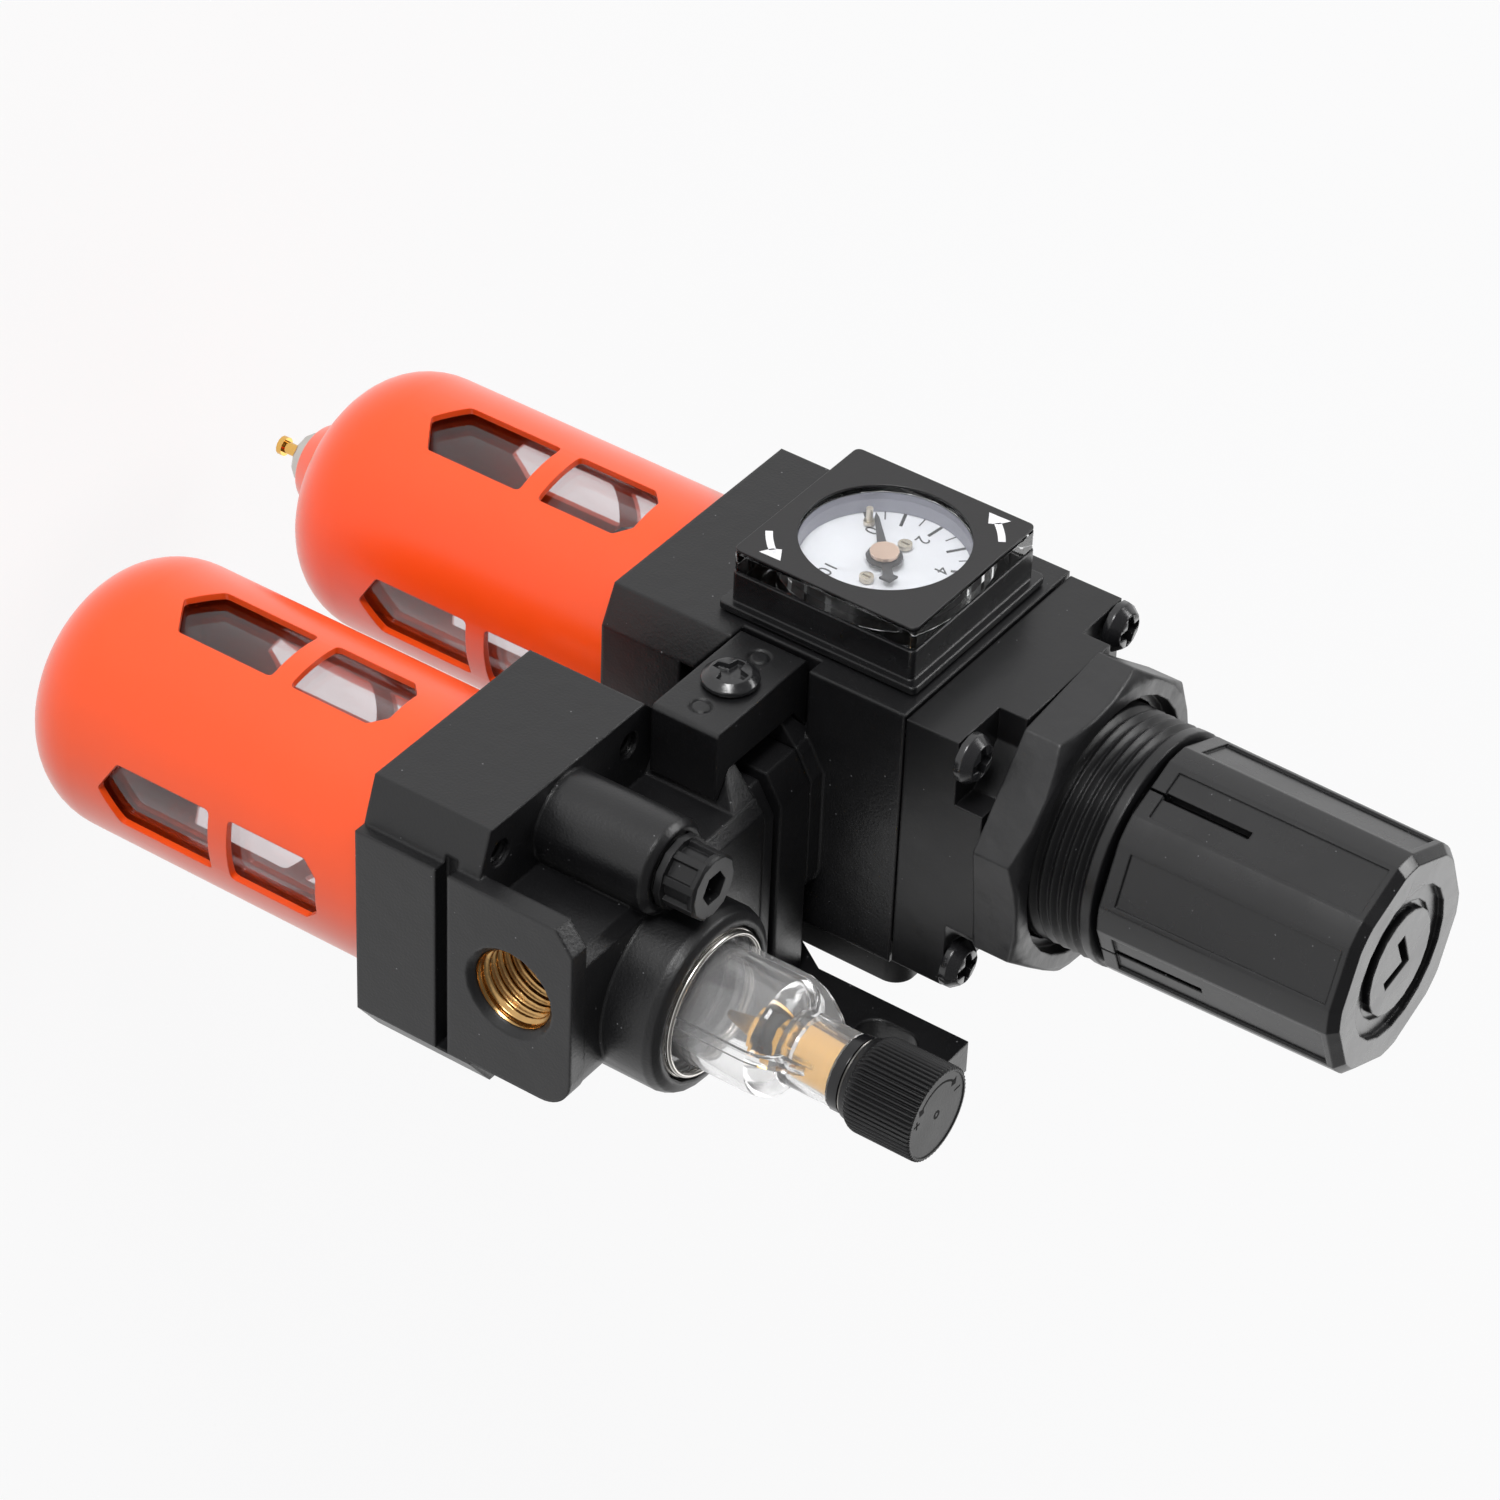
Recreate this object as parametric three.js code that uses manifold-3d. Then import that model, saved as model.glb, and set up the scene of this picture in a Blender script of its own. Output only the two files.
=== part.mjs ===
// Pneumatic filter regulator lubricator, upright as it hangs on a wall.
// Millimetres, +Z up, +X along the air flow, -Y towards the person in front of it.
// The origin is on the wall face of the bracket, level with the ports, midway between the bodies.
import * as THREE from 'three';
import { mergeVertices } from 'three/addons/utils/BufferGeometryUtils.js';
import Module from 'manifold-3d';

const wasm = await Module();
wasm.setup();

// Layout of the whole unit
const portToWall = 30;
const faceToFace = 90;
const spacerLength = 10;
const axisSpacing = 52.4;
const gap = 0.3;
const overcut = 1;

// Facets round a circle, by size
const coarse = 12;
const medium = 20;
const fine = 30;

// Both bodies
const bodyFloor = -23.4;
const bodyFront = -20;
const bodyBack = 20;
const sideSlopeFoot = 14.7;
const sideLedgeY = -13.7;
const sideLedge = 1.8;
const blockBack = 14.3;
const blockFloor = -9.3;
const grooveHeight = 1.9;
const grooveDepth = 2.4;
const blockRound = 4.5;
const portFlange = { front: -13.7, run: 3.3, drop: 2.5, top: 9.4 };
const portFlangeThickness = 2.9;
const lubricatorBlock = { front: -8.6, run: 1.75, drop: 1.3, top: 9.2 };
const joinBlock = { front: -9.7, run: 4.3, drop: 2.5, top: 9.4 };
const portMouthRadius = 6.58;
const portMouthChamfer = 0.9;
const portRadius = 5.72;
const portDepth = 11;
const airwayRadius = 4.3;

// Threaded sockets for the bowls
const socketDepth = 10;
const bowlSealThickness = 1.5;
const bowlRimBelowSeal = 0.3;
const bowlSealInset = 0.2;

// Clear bowls and their painted steel guards
const bowlWall = 2;
const bowlToGuard = 0.4;
const bowlEndRound = 10;
const guardRadius = 18.4;
const guardWall = 1;
const guardTop = bodyFloor - gap;
const guardEnd = -81.5;
const guardEndRound = 11;
const windowHalfWidth = 4.8;
const windowPoint = -65.2;
const windowShoulder = -62.2;
const windowTop = -47.3;
const upperWindowFloor = -44.3;
const upperWindowTop = -30.2;
const upperWindowCorner = 2;
const windowColumns = 4;
const regulatorGuardTurn = 8;
const lubricatorGuardTurn = 2;

// Drain of the filter bowl
const filterBossWide = 8.4;
const filterBossTip = 5.4;
const filterBossLength = 5;
const nippleRadius = 3.5;
const nippleLength = 7.4;
const drainBore = 1.15;
const drainFlangeThickness = 1.2;
const drainDiscRadius = 2.2;
const nippleNeck = 2.4;
const nippleFlange = 4.1;
const drainPinRadius = 0.85;
const drainPinReach = 4;
const drainHeadRadius = 1.35;
const drainHeadLength = 0.8;

// Closed end of the oil bowl
const oilBossWide = 6.4;
const oilBossTip = 4.4;
const oilBossLength = 2.8;
const oilPlugRadius = 1.5;

// Filter element and what holds it
const roofDepth = 6;
const chamberRadius = 13.5;
const studRadius = 2.4;
const studPassage = 1.2;
const elementTop = -17.6;
const elementLength = 18;
const elementRadius = 8.8;
const elementBore = 5.2;
const deflectorRadius = 13;
const deflectorPlate = 1.4;
const deflectorSkirt = 5;
const deflectorSlots = 8;
const deflectorSlotWidth = 2.6;
const retainerRadius = 9.6;
const retainerRim = 1.8;
const retainerLength = 8.6;
const retainerTip = 4.6;

// Valve inside the regulator body
const valveBore = 4.5;
const seatRadius = 2.8;
const seatLevel = 3;
const outletFloor = 4;
const outletCeiling = 10;
const outletRadius = 9;
const poppetRadius = 4;
const poppetThickness = 2.4;
const stemRadius = 1.2;
const stemBore = 1.6;
const feedbackRadius = 1.2;
const feedbackOffset = 6;
const inletDropRadius = 3.2;
const inletDropReach = 8.8;
const airwayOverlap = 3;
const sidePortOverlap = 2;
const valveSpringWire = 0.4;
const valveSpringRadius = 2.9;
const valveSpringTurns = 3;

// Regulator body and the bonnet on it
const regulatorTop = 20.9;
const regulatorHalfWidth = 18.6;
const regulatorHalfDepth = 19.6;
const diaphragmChamberFloor = 14;
const diaphragmChamberRadius = 13;
const diaphragmRadius = 14.8;
const diaphragmThickness = 1.2;
const bonnetHeight = 11.8;
const bonnetScrewInsetX = 1.8;
const bonnetScrewInsetY = 3;
const bonnetScrewRadius = 1.1;
const bonnetScrewHead = 3.4;
const bonnetScrewHeadHeight = 2.6;
const bonnetScrewLength = 15;
const screwPocketDepth = 4.1;
const screwPocketReachX = 7.3;
const screwPocketReachY = 6.8;
const screwPocketCorner = 4.9;
const springChamberRadius = 12.4;
const neckThreadRadius = 16.1;
const neckRootRadius = 15;
const neckHeight = 15.4;
const neckThreadPitch = 1.5;
const neckThreadDepth = 0.9;
const neckRidges = 5;
const neckCollar = 1.35;
const neckCollarBelowTop = 0.5;
const lockSleeveRadius = 12.9;
const lockSleeveHeight = 15;
const lockSleeveBore = 10.2;
const sleeveLedge = 2.1;

// Panel nut
const nutAcrossFlats = 40.1;
const nutHeight = 6.6;
const nutCounterbore = 17.7;
const nutCounterboreDepth = 2.2;
const nutChamfer = 1.3;
const nutSides = 8;
const nutTurn = 29;

// Pressure knob
const knobBaseRadius = 16;
const knobEndRadius = 15.5;
const knobHeight = 33.8;
const knobFacets = 8;
const knobFlatShare = 0.962;
const knobEndBevel = 1.2;
const knobBore = 13.3;
const knobBoreDepth = 19;
const knobPanelDepth = 0.35;
const knobPanelHalf = 3.6;
const knobPanelMargin = 2;
const knobSlotWidth = 1.1;
const knobSlotFloor = 2.1;
const knobSlotLength = 12.2;
const knobSlit = 0.4;
const knobSlots = 4;
const knobTurn = 22;
const knobRecessRadius = 10.5;
const knobRecessDepth = 0.8;
const knobButtonRadius = 7.3;
const knobButtonGroove = 0.7;
const knobChevronDepth = 1.3;
const knobChevronTurn = 152;
const knobHubRadius = 6;
const knobWall = 2.4;

// Adjusting screw, nut and spring
const adjusterRadius = 3;
const adjusterKeyRadius = 2.9;
const adjusterCollarRadius = 6;
const adjusterCollarHeight = 1.6;
const adjusterKeyLength = 10;
const adjusterLength = 16;
const adjustingNutRadius = 9.6;
const adjustingNutHeight = 5;
const nutKeyway = 2.4;
const nutKeywayDepth = 0.9;
const springWire = 1.2;
const springRadius = 7.6;
const springTurns = 7;
const plateRadius = 9.5;
const plateThickness = 1.6;
const plateStem = 2;
const plateFoot = 6;
const plateFootThickness = 1.3;

// Square pressure gauge on the front of the regulator
const gaugeX = 0.25;
const gaugeZ = 4.95;
const gaugeFlangeHalf = 14.9;
const gaugeFlangeThickness = 1.1;
const gaugeCaseHalf = 13.75;
const gaugeCaseDepth = 4.4;
const gaugeCornerRadius = 0.8;
const gaugeCavityRadius = 11.7;
const gaugeLabelHalf = 13.65;
const gaugeLabelThickness = 0.4;
const gaugeWindowRadius = 11;
const gaugeLensDepth = 2.9;
const gaugeLensFace = 1;
const dialRadius = 11.3;
const dialThickness = 0.5;
const dialSetback = 1.3;
const pointerLift = 1.1;
const pointerThickness = 0.3;
const pointerReach = 9.3;
const pointerTail = 5.4;
const pointerTailHalf = 1.2;
const pointerTipHalf = 0.3;
const pointerDisc = 2.4;
const pointerRest = 221;
const hubRadius = 1.9;
const hubThickness = 0.5;
const hubShaftRadius = 0.6;
const stopPinRadius = 0.45;
const stopPinOrbit = 8.4;
const stopPinOffset = 6.4;
const stopPinLength = 2.4;
const dialScrewSpacing = 8.6;
const dialScrewRadius = 0.95;
const dialScrewHead = 0.6;
const movementPocketRadius = 10.2;
const movementPocketDepth = 7.6;
const bourdonRadius = 7;
const bourdonWidth = 1.4;
const bourdonHeight = 2.6;
const bourdonSweep = 250;
const gaugeStemRadius = 2.4;
const gaugeStemBore = 1;
const gaugeStemRise = 1.5;
const gaugePortRadius = 2.8;

// Blank cover over the port at the back of the regulator
const rearCoverHalf = 14.9;
const rearCoverThickness = 6.9;
const rearCoverRise = 1;
const rearCoverRound = 3;
const rearStubRadius = 4;
const rearStubLength = 6;
const rearStubRise = 1;

// Lubricator body
const plateTop = -5.8;
const outerSlope = 4;
const innerSlope = 5.1;
const domeAxisY = 5.5;
const domeBossRadius = 12.6;
const domeBossTop = 17.1;
const domeBossRound = 1.6;
const domeBoreRadius = 10.5;
const domeBoreFloor = 10;
const dripHoleRadius = 1.5;
const riserRadius = 2.2;
const riserY = 9.8;
const fillAxisY = -12.7;
const fillBossRadius = 6.4;
const fillBossTop = 10.7;
const fillBossRound = 0.8;
const fillBore = 3.4;
const spareHoleX = 13;
const spareHoleY = -15.4;
const spareHoleRadius = 1.9;
const spareHoleDepth = 6.5;

// Fill plug
const plugFlangeRadius = 4.95;
const plugFlangeThickness = 1;
const plugHeadRadius = 3.9;
const plugHeadHeight = 4.6;
const plugRibs = 8;
const plugRibWidth = 1.1;
const plugRibHeight = 0.55;
const plugSocketRadius = 2.3;
const plugSocketDepth = 3.4;
const plugShankRadius = 3.1;
const plugShankLength = 6;
const plugSealThickness = 1.4;

// Sight dome and needle valve
const domeRadius = 7.9;
const domeFlangeRadius = 10.2;
const domeFlangeThickness = 2;
const domeWall = 1.3;
const domeShoulder = 27;
const domeShoulderRound = 3;
const domeNeckRadius = 4.9;
const domeNeckBore = 4;
const domeNeckFloor = 31;
const domeNeckTop = 37.1;
const domeFins = 3;
const domeFinThickness = 1.3;
const domeFinRadius = 8.4;
const domeFinShoulder = 27;
const domeFinTop = 34.3;
const domeFinTurn = 103;
const domeRingThickness = 1.5;
const domeRingWidth = 0.9;
const domeSealThickness = 1.1;
const stemCollarRadius = 3.6;
const stemCollarThickness = 1;
const stemDiscDrop = 0.9;
const stemDiscThickness = 1.8;
const stemBodyRadius = 3.7;
const stemWaist = 2.3;
const stemSpigot = 2.3;
const needleRingHeight = 1.5;
const needleRingRadius = 5.1;
const needleKnobRadius = 6.3;
const needleKnobHeight = 10.9;
const needleKnobRibs = 40;
const needleKnobRibDepth = 0.35;
const needleKnobSkirt = 1.2;

// Oil tube
const tubeRadius = 1.9;
const tubeBore = 1.2;
const tubeEnd = -68;
const tubeInBody = 5;
const strainerRadius = 3.2;
const strainerHeight = 3.6;

// Flow damper in the lubricator's airway
const damperThickness = 1;

// Bracket, clamp and seals between the bodies
const bracketThickness = 5;
const bracketArmHalf = 6;
const bracketArmReach = 34.5;
const bracketCentreHalf = 9.8;
const bracketCentreReach = 5.7;
const bracketNeckReach = 11.4;
const bracketHoleRadius = 2.75;
const bracketSlotInner = 24.4;
const bracketSlotTravel = 3;
const clampHalfWidth = 9.7;
const clampHalfHeight = 5;
const clampHeadroom = 1.6;
const clampTail = -9.7;
const clampUnderside = -13.1;
const clampArch = 7;
const clampTipWidth = 0.5;
const clampEdgeRound = 0.5;
const clampMarkRadius = 1.5;
const clampMarkWidth = 0.35;
const clampMarkDepth = 0.25;
const clampMarkX = 6.2;
const hookThickness = 1.8;
const hookTop = 4.2;
const hookGussetY = -8.7;
const hookGussetZ = 7.6;
const clawHalfHeight = 5.2;
const clampScrewRadius = 2;
const clampScrewHead = 3.75;
const clampScrewHeadHeight = 1.7;
const clampScrewLength = 13.4;
const clampScrewWall = 1.4;
const spacerBore = 5;
const spacerSealRadius = 7.6;
const spacerSealTube = 0.7;
const spacerSealGroove = 1.7;
const spacerStep = 1.5;
const spacerGrooveEnd = 2.7;
const spacerGrooveDepth = 1.6;
const spacerRimInset = 0.3;

// Sizes worked out from the ones above
const clampSlant = (clampHalfWidth - clampTipWidth - clampArch) / (clampTail - clampUnderside);
const clampFlangeFront = clampUnderside + gap;
const axisX = axisSpacing / 2;
const outerReach = faceToFace / 2 - axisX;
const innerReach = axisX - spacerLength / 2;
const socketRoof = bodyFloor + socketDepth;
const sealMiddle = socketRoof - gap - bowlSealThickness / 2;
const bowlRim = sealMiddle - bowlSealThickness / 2 - bowlRimBelowSeal;
const bowlRadius = guardRadius - guardWall - bowlToGuard;
const socketRadius = bowlRadius + gap;
const bowlEnd = guardEnd + guardWall + gap;
const bonnetFloor = regulatorTop + gap;
const bonnetTop = bonnetFloor + bonnetHeight;
const neckTop = bonnetTop + neckHeight;
const lockSleeveTop = neckTop + lockSleeveHeight;
const knobFloor = neckTop + 2 * gap;
const knobTop = knobFloor + knobHeight;
const screwOffsetX = regulatorHalfWidth - bonnetScrewInsetX;
const screwOffsetY = regulatorHalfDepth - bonnetScrewInsetY;
const diaphragmFloor = regulatorTop + gap;
const diaphragmTop = diaphragmFloor + diaphragmThickness;
const plateFloor = diaphragmTop + gap;
const plateCeiling = plateFloor + plateThickness;
const plateFootTop = diaphragmFloor - gap;
const plateFootFloor = plateFootTop - plateFootThickness;
const gaugeFlangeBack = bodyFront - gap;
const gaugeCaseBack = gaugeFlangeBack - gaugeFlangeThickness;
const gaugeCaseFront = gaugeCaseBack - gaugeCaseDepth;
const gaugeLensFront = gaugeCaseFront - gaugeLensDepth;
const dialFront = gaugeCaseFront + dialSetback;
const boss = { filter: [filterBossWide, filterBossTip, filterBossLength, nippleRadius + gap],
  oil: [oilBossWide, oilBossTip, oilBossLength, oilPlugRadius + 3 * gap] };

// Finishes
function finish(color, roughness, metalness) {
  return new THREE.MeshStandardMaterial({ color, roughness, metalness });
}
const castBlack = finish(0x222224, 0.55, 0.3);
const plasticBlack = finish(0x1b1b1d, 0.35, 0.0);
const orangePaint = finish(0xf4511e, 0.3, 0.1);
const clearPlastic = finish(0xdfe6ea, 0.1, 0.0);
const smokedPlastic = finish(0xb9a8b0, 0.1, 0.0);
const brass = finish(0xc9a253, 0.3, 1.0);
const nickel = finish(0xa9aba6, 0.3, 1.0);
const blackSteel = finish(0x2b2b2d, 0.35, 0.8);
const springSteel = finish(0x9a9c9f, 0.35, 1.0);
const rubberBlack = finish(0x161616, 0.8, 0.0);
const sinteredBronze = finish(0x8a6a45, 0.9, 0.3);
const dialWhite = finish(0xeef0f4, 0.6, 0.0);
const pointerGrey = finish(0x3a3c40, 0.5, 0.2);
const copper = finish(0xc08a72, 0.3, 1.0);

// Turning a three.js geometry into a solid and back

function signedVolume(positions, triangles) {
  const a = new THREE.Vector3();
  const b = new THREE.Vector3();
  const c = new THREE.Vector3();
  let volume = 0;
  for (let i = 0; i < triangles.length; i += 3) {
    a.fromArray(positions, 3 * triangles[i]);
    b.fromArray(positions, 3 * triangles[i + 1]);
    c.fromArray(positions, 3 * triangles[i + 2]);
    volume += a.dot(b.cross(c)) / 6;
  }
  return volume;
}

function solid(geometry) {
  const plain = geometry.clone();
  plain.deleteAttribute('normal');
  plain.deleteAttribute('uv');
  const merged = mergeVertices(plain, 1e-5);
  const vertProperties = Float32Array.from(merged.attributes.position.array);
  const kept = [];
  const index = merged.index.array;
  for (let i = 0; i < index.length; i += 3) {
    const [p, q, r] = [index[i], index[i + 1], index[i + 2]];
    if (p !== q && q !== r && r !== p) kept.push(p, q, r);
  }
  if (signedVolume(vertProperties, kept) < 0) kept.reverse();
  const triVerts = Uint32Array.from(kept);
  return new wasm.Manifold(new wasm.Mesh({ numProp: 3, vertProperties, triVerts }));
}

function geometryOf(shape) {
  const mesh = shape.getMesh();
  const geometry = new THREE.BufferGeometry();
  geometry.setAttribute('position', new THREE.BufferAttribute(mesh.vertProperties, 3));
  geometry.setIndex(new THREE.BufferAttribute(mesh.triVerts, 1));
  return geometry;
}

function join(...shapes) {
  return shapes.reduce((sum, shape) => sum.add(shape));
}

function cut(shape, ...tools) {
  return tools.reduce((rest, tool) => rest.subtract(tool), shape);
}

// Basic shapes

function block(x0, x1, y0, y1, z0, z1) {
  const geometry = new THREE.BoxGeometry(x1 - x0, y1 - y0, z1 - z0);
  return solid(geometry.translate((x0 + x1) / 2, (y0 + y1) / 2, (z0 + z1) / 2));
}

function turned(profile, segments, x = 0, y = 0) {
  const points = profile.map(([r, z]) => new THREE.Vector2(r, z));
  const closesOnAxis = profile[0][0] === 0 && profile[profile.length - 1][0] === 0;
  if (!closesOnAxis) points.push(points[0].clone());
  return solid(new THREE.LatheGeometry(points, segments).rotateX(Math.PI / 2).translate(x, y, 0));
}

function rod(radius, z0, z1, segments, x = 0, y = 0) {
  return turned([[0, z0], [radius, z0], [radius, z1], [0, z1]], segments, x, y);
}

function ring(inner, outer, z0, z1, segments, x = 0, y = 0) {
  return turned([[inner, z0], [outer, z0], [outer, z1], [inner, z1]], segments, x, y);
}

function rodX(radius, x0, x1, segments, y = 0, z = 0) {
  const geometry = new THREE.CylinderGeometry(radius, radius, x1 - x0, segments);
  return solid(geometry.rotateZ(Math.PI / 2).translate((x0 + x1) / 2, y, z));
}

function rodY(radius, y0, y1, segments, x = 0, z = 0) {
  const geometry = new THREE.CylinderGeometry(radius, radius, y1 - y0, segments);
  return solid(geometry.translate(x, (y0 + y1) / 2, z));
}

function coneX(radiusLow, radiusHigh, x0, x1, segments) {
  const geometry = new THREE.CylinderGeometry(radiusLow, radiusHigh, x1 - x0, segments);
  return solid(geometry.rotateZ(Math.PI / 2).translate((x0 + x1) / 2, 0, 0));
}

function shapeOf(points) {
  return new THREE.Shape(points.map(([u, v]) => new THREE.Vector2(u, v)));
}

function extruded(shape, depth, curveSegments = 6) {
  return new THREE.ExtrudeGeometry(shape, { depth, bevelEnabled: false, curveSegments });
}

// An outline in X and Y, extruded upwards
function prismZ(shape, z0, z1, curveSegments) {
  return solid(extruded(shape, z1 - z0, curveSegments).translate(0, 0, z0));
}

// An outline in X and Z, extruded from the front towards the back
function prismY(shape, y0, y1, curveSegments) {
  return solid(extruded(shape, y1 - y0, curveSegments).rotateX(Math.PI / 2).translate(0, y1, 0));
}

// An outline in Y and Z, extruded along the flow
function prismX(shape, x0, x1, curveSegments) {
  const geometry = extruded(shape, x1 - x0, curveSegments);
  return solid(geometry.rotateZ(Math.PI / 2).rotateY(Math.PI / 2).translate(x0, 0, 0));
}

function roundedSquare(half, radius, cx = 0, cz = 0) {
  const shape = new THREE.Shape();
  const inner = half - radius;
  shape.absarc(cx + inner, cz + inner, radius, 0, Math.PI / 2);
  shape.absarc(cx - inner, cz + inner, radius, Math.PI / 2, Math.PI);
  shape.absarc(cx - inner, cz - inner, radius, Math.PI, Math.PI * 1.5);
  shape.absarc(cx + inner, cz - inner, radius, Math.PI * 1.5, Math.PI * 2);
  return shape;
}

function quarterArc(cr, cz, radius, fromDeg, toDeg, steps) {
  return Array.from({ length: steps + 1 }, (unused, i) => {
    const angle = THREE.MathUtils.degToRad(fromDeg + (toDeg - fromDeg) * i / steps);
    return [cr + radius * Math.cos(angle), cz + radius * Math.sin(angle)];
  });
}

function turnedAbout(shape, degrees) {
  const turn = new THREE.Matrix4().makeRotationZ(THREE.MathUtils.degToRad(degrees));
  return solid(geometryOf(shape).applyMatrix4(turn));
}

function polar(radius, degrees) {
  const angle = THREE.MathUtils.degToRad(degrees);
  return [radius * Math.cos(angle), radius * Math.sin(angle)];
}

// A seal ring with a round section, lying flat
function sealRing(middle, tube, z, segments, x = 0, y = 0) {
  return solid(new THREE.TorusGeometry(middle, tube, 6, segments).translate(x, y, z));
}

// A coil spring with its ends closed by caps, as one unbroken tube
function coilSpring(name, middle, wire, turns, z0, z1) {
  const steps = 8;
  const sides = 5;
  const rows = Math.round(turns * steps);
  const rise = (z1 - z0 - 2 * wire) / rows;
  const positions = [];
  const triangles = [];
  for (let i = 0; i <= rows; i += 1) {
    const turn = 2 * Math.PI * i / steps;
    for (let j = 0; j < sides; j += 1) {
      const around = 2 * Math.PI * j / sides;
      const r = middle + wire * Math.cos(around);
      positions.push(r * Math.cos(turn), r * Math.sin(turn), z0 + wire + rise * i + wire * Math.sin(around));
    }
  }
  for (let i = 0; i < rows; i += 1) {
    for (let j = 0; j < sides; j += 1) {
      const a = i * sides + j;
      const b = i * sides + (j + 1) % sides;
      triangles.push(a, a + sides, b, b, a + sides, b + sides);
    }
  }
  const last = rows * sides;
  for (let j = 1; j < sides - 1; j += 1) {
    triangles.push(0, j, j + 1);
    triangles.push(last, last + j + 1, last + j);
  }
  const least = rise * steps - 2 * wire;
  console.log(`${name}: least gap between turns ${least.toFixed(2)} mm`);
  const geometry = new THREE.BufferGeometry();
  geometry.setAttribute('position', new THREE.BufferAttribute(Float32Array.from(positions), 3));
  geometry.setIndex(triangles);
  return solid(geometry);
}

// Groups: the unit, with one group on each bowl axis
const unit = new THREE.Group();
const assembly = new THREE.Group();
const regulator = new THREE.Group();
const lubricator = new THREE.Group();
assembly.position.set(0, -portToWall, 0);
regulator.position.set(-axisX, 0, 0);
lubricator.position.set(axisX, 0, 0);
unit.add(assembly);
assembly.add(regulator, lubricator);

function piece(group, name, shape, material) {
  const mesh = new THREE.Mesh(geometryOf(shape), material);
  mesh.name = name;
  group.add(mesh);
  return mesh;
}

// Threaded port, cut into a body from one of its side faces
function portCut(face, inward) {
  const mouth = face + inward * portMouthChamfer;
  const end = face + inward * portDepth;
  const before = face - inward * overcut;
  const [x0, x1] = inward > 0 ? [face, mouth] : [mouth, face];
  const taper = inward > 0 ? coneX(portMouthRadius, portRadius, x0, x1, medium)
    : coneX(portRadius, portMouthRadius, x0, x1, medium);
  return join(taper, rodX(portRadius, Math.min(before, end), Math.max(before, end), medium));
}

function socketCut() {
  return rod(socketRadius, bodyFloor - overcut, socketRoof, medium);
}

// Section of the port block in Y and Z: chamfered in front, rounded behind
function portBlockSection({ front, run, drop, top }) {
  const shape = new THREE.Shape();
  shape.moveTo(front, blockFloor);
  shape.lineTo(blockBack, blockFloor);
  shape.lineTo(blockBack, top - blockRound);
  shape.absarc(blockBack - blockRound, top - blockRound, blockRound, 0, Math.PI / 2);
  shape.lineTo(front + run, top);
  shape.lineTo(front, top - drop);
  return shape;
}

// Flange with a slanted back that a leg of the clamp hooks over, at the inner end of a body
function hookFlange(side, floor) {
  const inner = side * innerReach;
  const slant = hookThickness + clampSlant * (hookGussetY - clampFlangeFront);
  const root = joinBlock.front + overcut + overcut;
  const top = [[inner, clampFlangeFront], [inner - side * hookThickness, clampFlangeFront],
    [inner - side * slant, hookGussetY], [inner - side * slant, root], [inner, root]];
  if (side > 0) top.reverse();
  const sideView = shapeOf([[clampFlangeFront, floor], [root, floor], [root, hookGussetZ],
    [hookGussetY, hookGussetZ], [clampFlangeFront, hookTop]]);
  const x0 = Math.min(inner, inner - side * slant);
  const x1 = Math.max(inner, inner - side * slant);
  const slanted = prismZ(shapeOf(top), floor, hookGussetZ, 1);
  return slanted.intersect(prismX(sideView, x0 - overcut, x1 + overcut, 1));
}

// Pocket that the front clamp hooks into, at the inner end of each body
function clampPocket(side, ceiling) {
  const inner = side * innerReach;
  const reach = side * (axisX - clampHalfWidth - 2 * gap);
  const floor = clampTail + gap;
  const [x0, x1] = side > 0 ? [reach, inner + overcut] : [inner - overcut, reach];
  return block(x0, x1, bodyFront - overcut, floor, -clampHalfHeight - gap, ceiling);
}

function sideGrooves(x0, x1) {
  const top = blockFloor;
  const deep = overcut + grooveDepth;
  const slot = (start) => block(start, start + deep, -sideSlopeFoot, sideSlopeFoot, top - grooveHeight, top);
  return [slot(x0 - overcut), slot(x1 - grooveDepth)];
}

// Regulator body

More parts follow.
